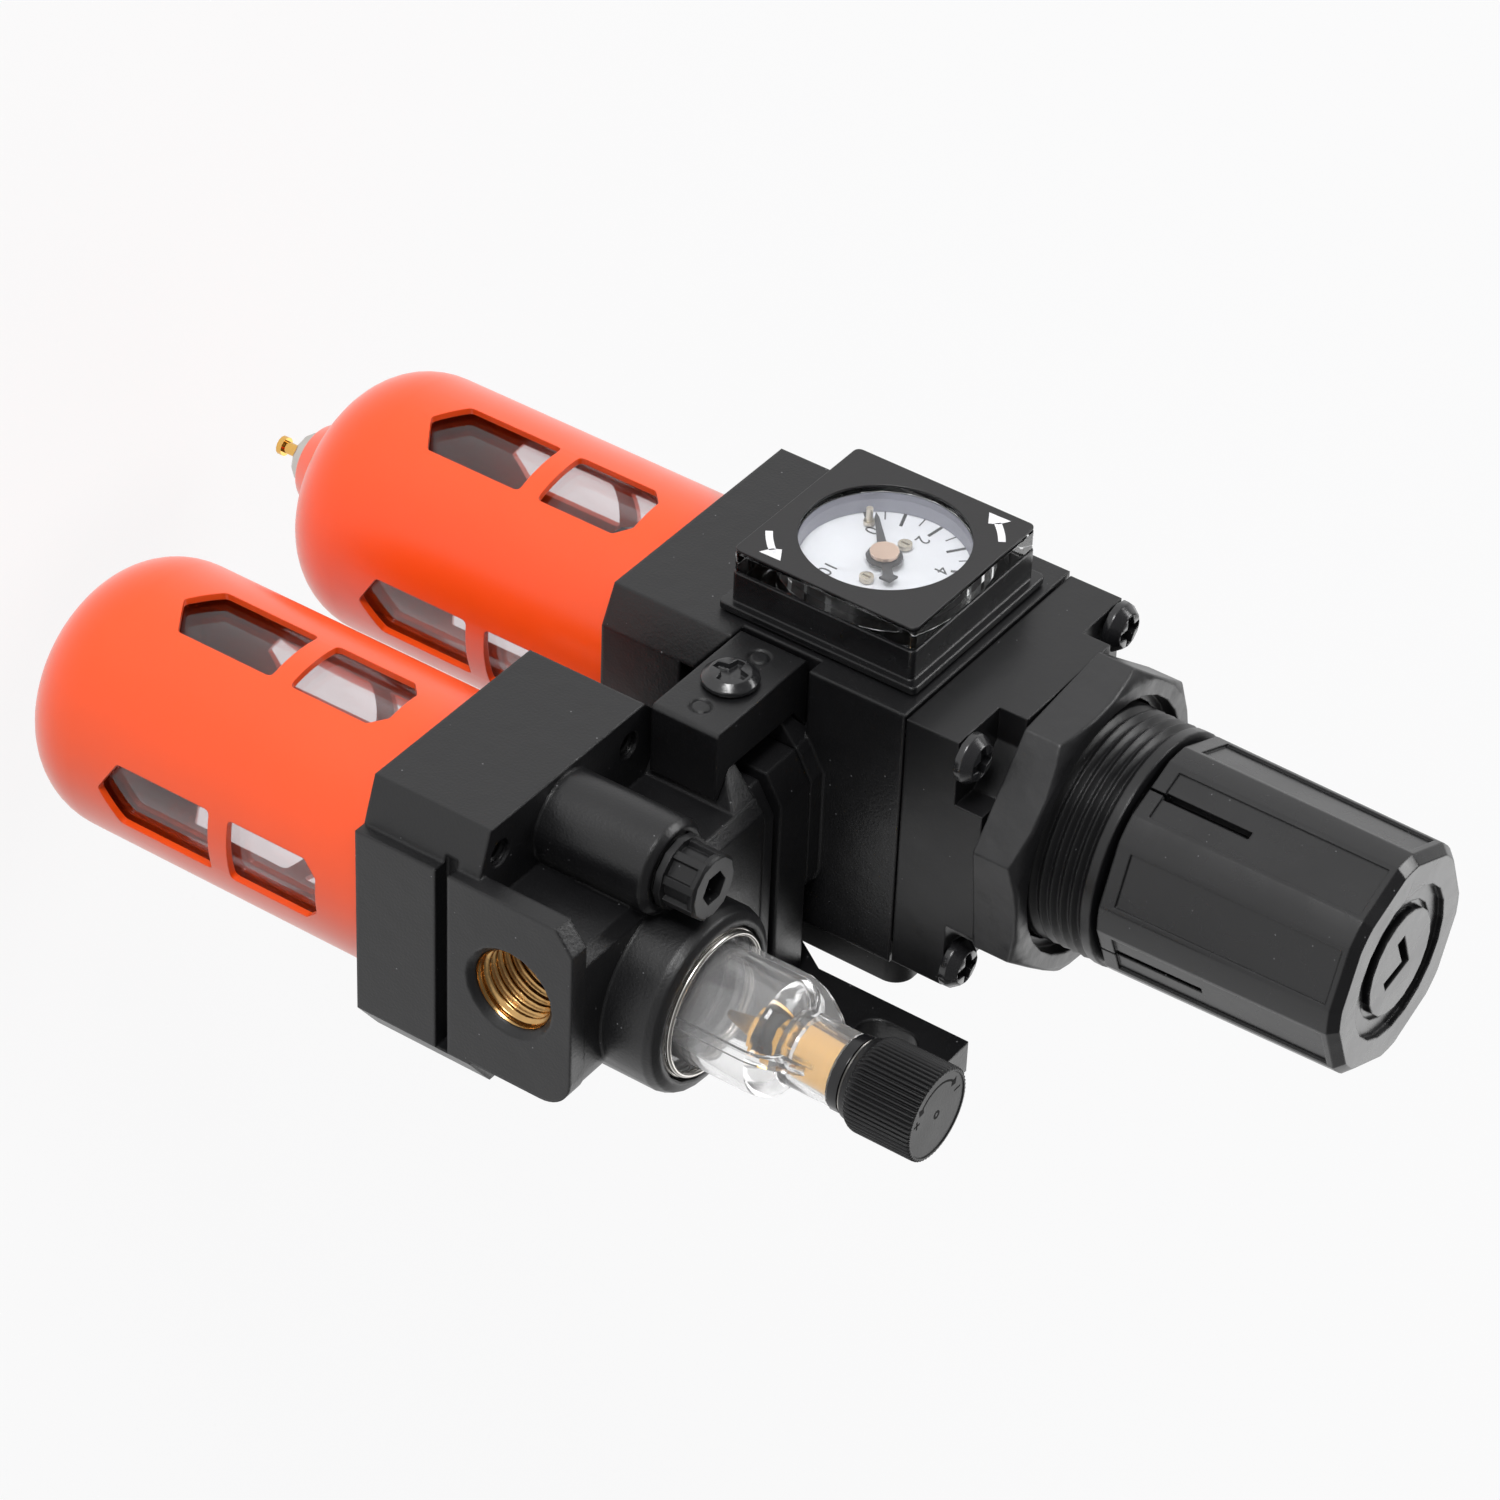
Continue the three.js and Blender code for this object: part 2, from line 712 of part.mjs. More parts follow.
function regulatorBody() {
  const outline = shapeOf([
    [-outerReach + 0.8, bodyFront], [regulatorHalfWidth, bodyFront], [innerReach, -sideSlopeFoot],
    [innerReach, sideSlopeFoot], [regulatorHalfWidth, bodyBack], [-outerReach + 0.8, bodyBack],
    [-outerReach, bodyBack - 0.8], [-outerReach, bodyFront + 0.8],
  ]);
  const upper = block(-outerReach, regulatorHalfWidth, bodyFront, bodyBack, blockFloor - overcut,
    regulatorTop);
  const stock = join(prismZ(outline, bodyFloor, blockFloor, 4), upper,
    prismX(portBlockSection(joinBlock), 0, innerReach, 5));
  const seat = seatLevel - gap;
  const screwHoles = cornerPlaces().map(([x, y]) =>
    rod(bonnetScrewRadius + gap, regulatorTop - bonnetScrewLength, regulatorTop + overcut, 12, x, y));
  const pocketed = cut(stock, clampPocket(1, clampHalfHeight + clampHeadroom));
  const hooked = join(pocketed, hookFlange(1, -clampHalfHeight - 2 * gap));
  return cut(hooked, ...sideGrooves(-outerReach, innerReach),
    block(axisX - clampHalfWidth - 2 * gap, innerReach + overcut, blockBack, bodyBack + overcut,
      -clawHalfHeight - gap, clawHalfHeight + gap),
    socketCut(),
    rod(chamberRadius, socketRoof - overcut, -roofDepth, medium),
    portCut(-outerReach, 1),
    rod(inletDropRadius, -roofDepth - overcut, 0, coarse, -outerReach + inletDropReach, 0),
    rod(valveBore, -roofDepth - overcut, seatLevel, coarse),
    rod(seatRadius, seat, outletFloor + gap, coarse),
    rod(outletRadius, outletFloor, outletCeiling, medium),
    portCut(innerReach, -1),
    rodX(airwayRadius, outletRadius - airwayOverlap, innerReach - portDepth + overcut, coarse, 0,
      outletFloor),
    rod(stemBore, outletCeiling - overcut, diaphragmChamberFloor + overcut, 12),
    rod(feedbackRadius, outletCeiling - overcut, diaphragmChamberFloor + overcut, 8, feedbackOffset, 0),
    rod(diaphragmChamberRadius, diaphragmChamberFloor, regulatorTop + overcut, medium),
    rodY(movementPocketRadius, bodyFront - overcut, bodyFront + movementPocketDepth, medium, gaugeX, gaugeZ),
    rodY(gaugePortRadius, bodyFront, -outletRadius + sidePortOverlap, coarse, gaugeX,
      gaugeZ + gaugeStemRise),
    rodY(rearStubRadius + gap, outletRadius - sidePortOverlap, bodyBack + overcut, coarse, gaugeX,
      gaugeZ + rearStubRise),
    ...screwHoles);
}

function cornerPlaces() {
  return [[1, -1], [-1, -1], [1, 1], [-1, 1]].map(([sx, sy]) => [sx * screwOffsetX, sy * screwOffsetY]);
}

piece(regulator, 'regulator_body', regulatorBody(), castBlack);

// Bonnet with its threaded neck and the sleeve that locks the knob

function threadProfile() {
  const start = bonnetTop - overcut;
  const points = [[springChamberRadius, start], [neckThreadRadius, start]];
  const collarTop = neckTop - neckCollarBelowTop;
  const ridgeStart = collarTop - neckCollar - neckRidges * neckThreadPitch;
  for (let i = 0; i < neckRidges; i += 1) {
    const z = ridgeStart + i * neckThreadPitch;
    points.push([neckThreadRadius, z], [neckThreadRadius - neckThreadDepth, z + 0.5 * neckThreadPitch]);
  }
  points.push([neckThreadRadius, collarTop - neckCollar], [neckThreadRadius, collarTop]);
  points.push([neckRootRadius, neckTop], [lockSleeveRadius, neckTop]);
  points.push([lockSleeveRadius, lockSleeveTop], [adjusterRadius + gap, lockSleeveTop]);
  points.push([adjusterRadius + gap, lockSleeveTop - knobWall], [lockSleeveBore, lockSleeveTop - knobWall]);
  points.push([lockSleeveBore, neckTop - sleeveLedge], [springChamberRadius, neckTop - 2 * sleeveLedge]);
  return points;
}

function bonnet() {
  const base = block(-regulatorHalfWidth, regulatorHalfWidth, -regulatorHalfDepth, regulatorHalfDepth,
    bonnetFloor, bonnetTop);
  const nearX = screwOffsetX - screwPocketReachX;
  const nearY = screwOffsetY - screwPocketReachY;
  const awayX = regulatorHalfWidth + overcut;
  const awayY = regulatorHalfDepth + overcut;
  const tools = cornerPlaces().flatMap(([x, y]) => {
    const [sx, sy] = [Math.sign(x), Math.sign(y)];
    const pocket = [[nearX, awayY], [nearX, nearY + screwPocketCorner], [nearX + screwPocketCorner, nearY],
      [awayX, nearY], [awayX, awayY]].map(([u, v]) => [sx * u, sy * v]);
    if (sx * sy < 0) pocket.reverse();
    return [prismZ(shapeOf(pocket), bonnetTop - screwPocketDepth, bonnetTop + overcut, 1),
      rod(bonnetScrewRadius + gap, bonnetFloor - overcut, bonnetTop, 12, x, y)];
  });
  const bored = cut(base, ...tools,
    rod(springChamberRadius, bonnetFloor - overcut, bonnetTop + overcut, medium),
    rod(diaphragmRadius + gap, bonnetFloor - overcut, diaphragmTop + gap, medium));
  const keys = [-1, 1].map((side) => sleeveKey(side));
  return join(bored, turned(threadProfile(), 2 * medium), ...keys);
}

function sleeveKey(side) {
  const half = nutKeyway / 2 - gap;
  const inner = side * (adjustingNutRadius - nutKeywayDepth + gap);
  const outer = side * (lockSleeveBore + 0.8);
  return block(Math.min(inner, outer), Math.max(inner, outer), -half, half, neckTop, lockSleeveTop - 1);
}

piece(regulator, 'bonnet', bonnet(), plasticBlack);

// A pan head with a cross recess, standing on z0
function panScrew(radius, length, headRadius, headHeight, z0, segments) {
  const rim = headHeight * 0.35;
  const crown = headRadius * 0.72;
  const body = turned([[0, z0 - length], [radius, z0 - length], [radius, z0], [headRadius, z0],
    [headRadius, z0 + rim], [crown, z0 + headHeight * 0.86], [0, z0 + headHeight]], segments);
  return cut(body, prismZ(crossOutline(headRadius), z0 + headHeight * 0.4, z0 + headHeight + overcut, 1));
}

// Cross recess of a screw: four arms that widen where they meet
function crossOutline(headRadius) {
  const arm = headRadius * 0.62;
  const half = headRadius * 0.15;
  const corner = headRadius * 0.22;
  const quarter = [[arm, -half], [arm, half], [corner, corner]];
  return shapeOf([0, 90, 180, 270].flatMap((degrees) => quarter.map(([u, v]) => {
    const [c, d] = polar(1, degrees);
    return [u * c - v * d, u * d + v * c];
  })));
}

cornerPlaces().forEach(([x, y], index) => {
  const seat = bonnetTop - screwPocketDepth + gap;
  const shank = bonnetScrewLength + seat - regulatorTop - overcut;
  const shape = panScrew(bonnetScrewRadius, shank, bonnetScrewHead, bonnetScrewHeadHeight, seat, 12);
  const screw = piece(regulator, `bonnet_screw_${index + 1}`, shape, blackSteel);
  screw.position.set(x, y, 0);
});

// Panel nut
function panelNut() {
  const floor = bonnetTop + gap;
  const top = floor + nutHeight;
  const corner = nutAcrossFlats / 2 / Math.cos(Math.PI / nutSides);
  const corners = Array.from({ length: nutSides }, (unused, i) =>
    polar(corner, nutTurn + 360 * i / nutSides));
  const envelope = turned([[0, floor], [corner, floor], [corner, top - nutChamfer],
    [nutAcrossFlats / 2 - 0.4, top], [0, top]], fine);
  return cut(prismZ(shapeOf(corners), floor, top, 1).intersect(envelope),
    rod(neckThreadRadius + gap, floor - overcut, top + overcut, fine),
    rod(nutCounterbore, top - nutCounterboreDepth, top + overcut, fine));
}

piece(regulator, 'panel_nut', panelNut(), plasticBlack);

// Pressure knob: a tapered drum with eight flats, a sunk panel on each, slots and a marked end
function knobRadius(z) {
  return knobBaseRadius + (knobEndRadius - knobBaseRadius) * (z - knobFloor) / knobHeight;
}

function knobBlank() {
  const bevelled = (scale) => [[0, knobFloor], [scale * knobBaseRadius, knobFloor],
    [scale * knobEndRadius, knobTop - knobEndBevel], [scale * (knobEndRadius - knobEndBevel), knobTop],
    [0, knobTop]];
  const corner = knobFlatShare / Math.cos(Math.PI / knobFacets);
  const turn = new THREE.Matrix4().makeRotationZ(THREE.MathUtils.degToRad(knobTurn + 180 / knobFacets + 90));
  const points = bevelled(corner).map(([r, z]) => new THREE.Vector2(r, z));
  const flats = solid(new THREE.LatheGeometry(points, knobFacets).rotateX(Math.PI / 2).applyMatrix4(turn));
  return turned(bevelled(1), 2 * fine).intersect(flats);
}

function knobPanel(index) {
  const low = knobFloor + knobPanelMargin;
  const high = knobTop - knobPanelMargin;
  const deep = (z) => knobFlatShare * knobRadius(z) - knobPanelDepth;
  const side = shapeOf([[deep(low), low], [knobBaseRadius + overcut, low], [knobBaseRadius + overcut, high],
    [deep(high), high]]);
  return turnedAbout(prismY(side, -knobPanelHalf, knobPanelHalf, 1), knobTurn + 360 * index / knobFacets);
}

function knobSlot(index) {
  const low = knobFloor + knobSlotFloor;
  const inner = knobBore - overcut;
  const outer = knobBaseRadius + overcut;
  const slot = block(inner, outer, -knobSlotWidth / 2, knobSlotWidth / 2, low, low + knobSlotLength);
  const slit = block(inner, outer, -knobSlit / 2, knobSlit / 2, knobFloor - overcut, low + overcut);
  return turnedAbout(slot.add(slit), knobTurn + 360 * index / knobSlots);
}

function chevron() {
  const shape = shapeOf([[-1.6, -3.7], [2.7, 0], [-1.6, 3.7], [-2.9, 2.6], [0.5, 0], [-2.9, -2.6]]);
  return turnedAbout(prismZ(shape, knobTop - knobChevronDepth, knobTop + overcut, 1), knobChevronTurn);
}

function pressureKnob() {
  const keyBore = prismZ(shapeOf(hexagon(adjusterKeyRadius + gap)), knobFloor, knobTop - knobWall - 0.6, 1);
  const hollow = rod(knobBore, knobFloor - overcut, knobFloor + knobBoreDepth, medium);
  const relief = ring(knobHubRadius, knobBore - 0.8, knobFloor + knobBoreDepth - overcut,
    knobTop - knobWall, medium);
  const recess = ring(knobButtonRadius + knobButtonGroove, knobRecessRadius, knobTop - knobRecessDepth,
    knobTop + overcut, medium);
  const groove = ring(knobButtonRadius, knobButtonRadius + knobButtonGroove + 0.1,
    knobTop - knobRecessDepth - 0.4, knobTop + overcut, medium);
  const panels = Array.from({ length: knobFacets }, (unused, i) => knobPanel(i));
  const slots = Array.from({ length: knobSlots }, (unused, i) => knobSlot(i));
  return cut(knobBlank(), hollow, relief, keyBore, recess, groove, chevron(), ...panels, ...slots);
}

function hexagon(radius) {
  return Array.from({ length: 6 }, (unused, i) => polar(radius, 60 * i));
}

piece(regulator, 'pressure_knob', pressureKnob(), plasticBlack);

// Adjusting screw: held under the sleeve's roof by its collar, keyed into the knob
const sleeveRoofUnder = lockSleeveTop - knobWall;

function adjustingScrew() {
  const collarTop = sleeveRoofUnder - gap;
  const collarFloor = collarTop - adjusterCollarHeight;
  const low = collarFloor - adjusterLength;
  const body = turned([[0, low], [adjusterRadius, low], [adjusterRadius, collarFloor],
    [adjusterCollarRadius, collarFloor], [adjusterCollarRadius, collarTop], [adjusterRadius, collarTop],
    [adjusterRadius, lockSleeveTop + gap], [0, lockSleeveTop + gap]], coarse);
  const key = prismZ(shapeOf(hexagon(adjusterKeyRadius)), lockSleeveTop,
    lockSleeveTop + adjusterKeyLength, 1);
  return body.add(key);
}

piece(regulator, 'adjusting_screw', adjustingScrew(), springSteel);

const adjustingNutTop = sleeveRoofUnder - gap - adjusterCollarHeight - gap;
const adjustingNutFloor = adjustingNutTop - adjustingNutHeight;

function adjustingNut() {
  const nutBody = ring(adjusterRadius + gap, adjustingNutRadius, adjustingNutFloor, adjustingNutTop, medium);
  const edge = adjustingNutRadius - nutKeywayDepth;
  const side = (x0, x1) => block(x0, x1, -nutKeyway / 2, nutKeyway / 2, adjustingNutFloor - overcut,
    adjustingNutTop + overcut);
  return cut(nutBody, side(edge, adjustingNutRadius + overcut), side(-adjustingNutRadius - overcut, -edge));
}

piece(regulator, 'adjusting_nut', adjustingNut(), brass);
piece(regulator, 'pressure_spring',
  coilSpring('pressure_spring', springRadius, springWire, springTurns, plateCeiling + gap,
    adjustingNutFloor - gap),
  springSteel);

// Diaphragm and the plate riveted through it
piece(regulator, 'diaphragm',
  ring(plateStem + gap, diaphragmRadius, diaphragmFloor, diaphragmTop, medium), rubberBlack);
piece(regulator, 'diaphragm_plate', turned([[0, plateFootFloor], [plateFoot, plateFootFloor],
  [plateFoot, plateFootTop], [plateStem, plateFootTop], [plateStem, plateFloor], [plateRadius, plateFloor],
  [plateRadius, plateCeiling], [0, plateCeiling]], coarse), brass);

// Valve: poppet, its return spring and the stud that guides it
const poppetTop = seatLevel - gap;
const poppetFloor = poppetTop - poppetThickness;
const studHeadTop = -roofDepth + 1;
const springSeat = studHeadTop + gap;
piece(regulator, 'valve_poppet', turned([[0, springSeat - 3], [stemRadius, springSeat - 3],
  [stemRadius, poppetFloor], [poppetRadius, poppetFloor], [poppetRadius, poppetTop - 0.8],
  [seatRadius - gap, poppetTop], [stemRadius, poppetTop], [stemRadius, plateFootFloor - gap],
  [0, plateFootFloor - gap]], coarse), brass);
piece(regulator, 'valve_spring',
  coilSpring('valve_spring', valveSpringRadius, valveSpringWire, valveSpringTurns, springSeat,
    poppetFloor - gap),
  springSteel);

// Filter element on its stud, between the deflector and the retainer
const deflectorTop = elementTop + gap + deflectorPlate;
const elementFloor = elementTop - elementLength;
const retainerTop = elementFloor - gap;
const retainerFloor = retainerTop - retainerLength;
const studFloor = retainerFloor + 1.4;
const studFlange = 7;
const studFlangeThickness = 2;
const studNeckTop = -roofDepth - gap;

function elementStud() {
  const head = valveBore - gap;
  const body = turned([[0, studFloor], [studRadius, studFloor], [studRadius, deflectorTop + gap],
    [studFlange, deflectorTop + gap], [studFlange, deflectorTop + gap + studFlangeThickness],
    [head, deflectorTop + gap + studFlangeThickness], [head, studHeadTop], [0, studHeadTop]], coarse);
  const crossLevel = elementTop - 3 * studPassage;
  return cut(body, rod(stemRadius + gap, crossLevel - studPassage, studHeadTop + overcut, 12),
    rodX(studPassage, -studRadius - overcut, studRadius + overcut, 10, 0, crossLevel));
}

function airDeflector() {
  const skirtFloor = deflectorTop - deflectorPlate - deflectorSkirt;
  const inner = deflectorRadius - 1.1;
  const body = turned([[studRadius + gap, deflectorTop - deflectorPlate],
    [inner, deflectorTop - deflectorPlate],
    [inner, skirtFloor], [deflectorRadius, skirtFloor], [deflectorRadius, deflectorTop],
    [studRadius + gap, deflectorTop]], medium);
  const half = deflectorSlotWidth / 2;
  const slots = Array.from({ length: deflectorSlots }, (unused, i) => turnedAbout(
    block(inner - overcut, deflectorRadius + overcut, -half, half, skirtFloor - overcut,
      deflectorTop - deflectorPlate - 0.8), 360 * i / deflectorSlots));
  return cut(body, ...slots);
}

piece(regulator, 'element_stud', elementStud(), brass);
piece(regulator, 'air_deflector', airDeflector(), plasticBlack);
piece(regulator, 'filter_element',
  ring(elementBore, elementRadius, elementFloor, elementTop, medium), sinteredBronze);
piece(regulator, 'element_retainer', cut(turned([[0, retainerFloor], [retainerTip, retainerFloor],
  [retainerRadius - 1.6, retainerTop - retainerRim - 0.6], [retainerRadius, retainerTop - retainerRim],
  [retainerRadius, retainerTop], [0, retainerTop]], medium),
rod(studRadius + gap, studFloor - gap, retainerTop + overcut, coarse)), plasticBlack);

// Bowls, guards and bowl seals

function clearBowl(outletBore) {
  const inner = bowlRadius - bowlWall;
  const arcR = bowlRadius - bowlEndRound;
  const outside = quarterArc(arcR, bowlEnd + bowlEndRound, bowlEndRound, -90, 0, 4);
  const innerArc = bowlEndRound - bowlWall;
  const inside = quarterArc(arcR, bowlEnd + bowlEndRound, innerArc, 0, -90, 3);
  return turned([[outletBore, bowlEnd], ...outside, [bowlRadius, bowlRim], [inner, bowlRim], ...inside,
    [outletBore, bowlEnd + bowlWall]], medium);
}

function windowShape() {
  return shapeOf([[0, windowPoint], [windowHalfWidth, windowShoulder], [windowHalfWidth, windowTop],
    [-windowHalfWidth, windowTop], [-windowHalfWidth, windowShoulder]]);
}

function upperWindowShape() {
  const c = upperWindowCorner;
  const w = windowHalfWidth;
  return shapeOf([[-w, upperWindowFloor], [w, upperWindowFloor], [w, upperWindowTop - c],
    [w - c, upperWindowTop],
    [c - w, upperWindowTop], [-w, upperWindowTop - c]]);
}

function guard([wide, tip, length, hole]) {
  const arcR = guardRadius - guardEndRound;
  const middleZ = guardEnd + guardEndRound;
  const outside = quarterArc(arcR, middleZ, guardEndRound, -90, 0, 5);
  const inside = quarterArc(arcR, middleZ, guardEndRound - guardWall, 0, -90, 3);
  const shell = turned([[hole, guardEnd - length], [tip, guardEnd - length], [wide - 0.8, guardEnd - 1.4],
    [wide, guardEnd], ...outside, [guardRadius, guardTop], [guardRadius - guardWall, guardTop], ...inside,
    [hole, guardEnd + guardWall]], fine);
  const tools = [];
  for (let i = 0; i < windowColumns; i += 1) {
    const degrees = 360 * i / windowColumns;
    [windowShape(), upperWindowShape()].forEach((outline) => {
      tools.push(turnedAbout(prismY(outline, -guardRadius - overcut, 3 - guardRadius, 1), degrees));
    });
  }
  return cut(shell, ...tools);
}

function addBowl(group, prefix, bossSizes, outletBore, turn) {
  piece(group, `${prefix}_bowl`, clearBowl(outletBore), smokedPlastic);
  const cover = piece(group, `${prefix}_bowl_guard`, guard(bossSizes), orangePaint);
  cover.rotation.z = THREE.MathUtils.degToRad(turn);
  const middle = bowlRadius - bowlSealThickness / 2 - bowlSealInset;
  piece(group, `${prefix}_bowl_seal`, sealRing(middle, bowlSealThickness / 2, sealMiddle, coarse),
    rubberBlack);
}

addBowl(regulator, 'filter', boss.filter, nippleNeck + gap, regulatorGuardTurn);
addBowl(lubricator, 'oil', boss.oil, oilPlugRadius + gap, lubricatorGuardTurn);

// Drain nipple and the pin pushed up to open it
const nippleTop = bowlEnd - gap;
const nippleEnd = guardEnd - nippleLength;
const nippleFlangeTop = bowlEnd + bowlWall + gap + drainFlangeThickness;
piece(regulator, 'drain_nipple', turned([[drainBore, nippleEnd], [nippleRadius - 0.5, nippleEnd],
  [nippleRadius, nippleEnd + 0.5], [nippleRadius, nippleTop], [nippleNeck, nippleTop],
  [nippleNeck, bowlEnd + bowlWall + gap], [nippleFlange, bowlEnd + bowlWall + gap],
  [nippleFlange, nippleFlangeTop], [drainBore, nippleFlangeTop]], coarse), nickel);
const pinEnd = nippleEnd - drainPinReach;
const drainDiscTop = nippleFlangeTop + gap + drainFlangeThickness;
piece(regulator, 'drain_pin', turned([[0, pinEnd], [drainHeadRadius, pinEnd],
  [drainHeadRadius, pinEnd + drainHeadLength], [drainPinRadius, pinEnd + drainHeadLength],
  [drainPinRadius, nippleFlangeTop + gap], [drainDiscRadius, nippleFlangeTop + gap],
  [drainDiscRadius, drainDiscTop], [0, drainDiscTop]], 14), brass);

// Plug in the end of the oil bowl
const oilPlugEnd = guardEnd - oilBossLength + 0.4;
piece(lubricator, 'oil_bowl_plug', turned([[0, oilPlugEnd], [oilPlugRadius + 0.6, oilPlugEnd],
  [oilPlugRadius + 0.6, oilPlugEnd + 1.2], [oilPlugRadius, oilPlugEnd + 1.2],
  [oilPlugRadius, bowlEnd + bowlWall + gap], [oilPlugRadius + 1.4, bowlEnd + bowlWall + gap],
  [oilPlugRadius + 1.4, bowlEnd + bowlWall + gap + 1], [0, bowlEnd + bowlWall + gap + 1]], 14), nickel);

// Pressure gauge

function gaugeCase() {
  const flange = prismY(roundedSquare(gaugeFlangeHalf, gaugeCornerRadius, gaugeX, gaugeZ),
    gaugeCaseBack, gaugeFlangeBack, 3);
  const box = prismY(roundedSquare(gaugeCaseHalf, gaugeCornerRadius, gaugeX, gaugeZ),
    gaugeCaseFront, gaugeCaseBack + 0.2, 3);
  const stem = rodY(gaugeStemRadius, gaugeFlangeBack - 0.2, -outletRadius - overcut, coarse, gaugeX,
    gaugeZ + gaugeStemRise);
  const cavity = rodY(gaugeCavityRadius, gaugeCaseFront - overcut, dialFront + dialThickness + 0.8, medium,
    gaugeX, gaugeZ);
  const passage = rodY(gaugeStemBore, gaugeCaseBack - gaugeStemBore, -outletRadius, 8, gaugeX,
    gaugeZ + gaugeStemRise);
  return cut(join(flange, box, stem), cavity, passage);
}

function gaugeLens() {
  const body = prismY(roundedSquare(gaugeCaseHalf - 0.1, gaugeCornerRadius, gaugeX, gaugeZ),
    gaugeLensFront, gaugeCaseFront - gap, 3);
  return cut(body, rodY(gaugeWindowRadius + 0.3, gaugeLensFront + gaugeLensFace, gaugeCaseFront, medium,
    gaugeX, gaugeZ));
}

function gaugeLabel() {
  const front = gaugeLensFront - gap - gaugeLabelThickness;
  const sheet = prismY(roundedSquare(gaugeLabelHalf, gaugeCornerRadius, gaugeX, gaugeZ), front,
    gaugeLensFront - gap, 3);
  return cut(sheet, rodY(gaugeWindowRadius, front - overcut, gaugeLensFront, fine, gaugeX, gaugeZ));
}

function stopPinPlace() {
  const [u, v] = polar(stopPinOrbit, pointerRest + stopPinOffset);
  return [gaugeX + u, gaugeZ + v];
}

const dialScrewPlaces = [-1, 1].map((side) => [gaugeX + side * dialScrewSpacing / 2, gaugeZ + 0.25]);

function gaugeDial() {
  const disc = rodY(dialRadius, dialFront, dialFront + dialThickness, fine, gaugeX, gaugeZ);
  return cut(disc, rodY(hubShaftRadius + gap, dialFront - overcut, dialFront + overcut, 12, gaugeX, gaugeZ));
}

const pointerBack = dialFront - pointerLift;
const pointerFront = pointerBack - pointerThickness;
const hubFront = pointerFront - gap - hubThickness;

function gaugePointer() {
  const side = [[-pointerTail, 0], [-pointerTail + 1, pointerTailHalf],
    [-pointerTail + 1.4, pointerTailHalf * 0.55],
    ...Array.from({ length: 6 }, (unused, i) => polar(pointerDisc, 165 - 30 * i)),
    [pointerReach - 1.2, pointerTipHalf], [pointerReach, 0]];
  const mirrored = side.slice(1, -1).reverse().map(([u, v]) => [u, -v]);
  const outline = shapeOf([...side, ...mirrored].reverse());
  const blade = prismY(outline, pointerFront, pointerBack, 1);
  return cut(blade, rodY(hubShaftRadius + gap, pointerFront - overcut, pointerBack + overcut, 12));
}

function gaugeHub() {
  return join(rodY(hubRadius, hubFront, pointerFront - gap, coarse),
    rodY(hubShaftRadius, pointerFront - gap - 0.1, dialFront + dialThickness + 0.5, 12));
}

piece(regulator, 'gauge_case', gaugeCase(), plasticBlack);
piece(regulator, 'gauge_lens', gaugeLens(), clearPlastic);
piece(regulator, 'gauge_label', gaugeLabel(), plasticBlack);
piece(regulator, 'gauge_dial', gaugeDial(), dialWhite);
const pointer = piece(regulator, 'gauge_pointer', gaugePointer(), pointerGrey);
pointer.position.set(gaugeX, 0, gaugeZ);
pointer.rotation.y = -THREE.MathUtils.degToRad(pointerRest);
const hub = piece(regulator, 'gauge_hub', gaugeHub(), copper);
hub.position.set(gaugeX, 0, gaugeZ);
const [stopX, stopZ] = stopPinPlace();
const stopPinBack = dialFront - gap;
piece(regulator, 'gauge_stop_pin', join(
  rodY(stopPinRadius, stopPinBack - stopPinLength, stopPinBack, 12, stopX, stopZ),
  rodY(stopPinRadius * 1.7, stopPinBack - 0.5, stopPinBack, 12, stopX, stopZ)), copper);
dialScrewPlaces.forEach(([x, z], index) => {
  const head = rodY(dialScrewRadius, stopPinBack - dialScrewHead, stopPinBack, 14, x, z);
  const slot = block(x - 0.15, x + 0.15, stopPinBack - dialScrewHead - overcut, stopPinBack - 0.3,
    z - 0.6, z + 0.6);
  piece(regulator, `dial_screw_${index + 1}`, cut(head, slot), brass);
});

// Bourdon tube behind the dial, on the gauge's stem
function bourdonTube() {
  const start = THREE.MathUtils.degToRad(110);
  const end = start + THREE.MathUtils.degToRad(bourdonSweep);
  const shape = new THREE.Shape();
  shape.absarc(gaugeX, gaugeZ, bourdonRadius + bourdonWidth / 2, start, end, false);
  shape.absarc(gaugeX, gaugeZ, bourdonRadius - bourdonWidth / 2, end, start, true);
  return prismY(shape, gaugeFlangeBack + gap, gaugeFlangeBack + gap + bourdonHeight, 12);
}

piece(regulator, 'bourdon_tube', bourdonTube(), brass);

// Blank cover over the rear gauge port
piece(regulator, 'rear_port_cover', join(
  prismY(roundedSquare(rearCoverHalf, rearCoverRound, gaugeX, gaugeZ + rearCoverRise), bodyBack + gap,
    bodyBack + gap + rearCoverThickness, 5),
  rodY(rearStubRadius, bodyBack + gap - rearStubLength, bodyBack + gap + 0.5, coarse, gaugeX,
    gaugeZ + rearStubRise)),
plasticBlack);

// Lubricator body

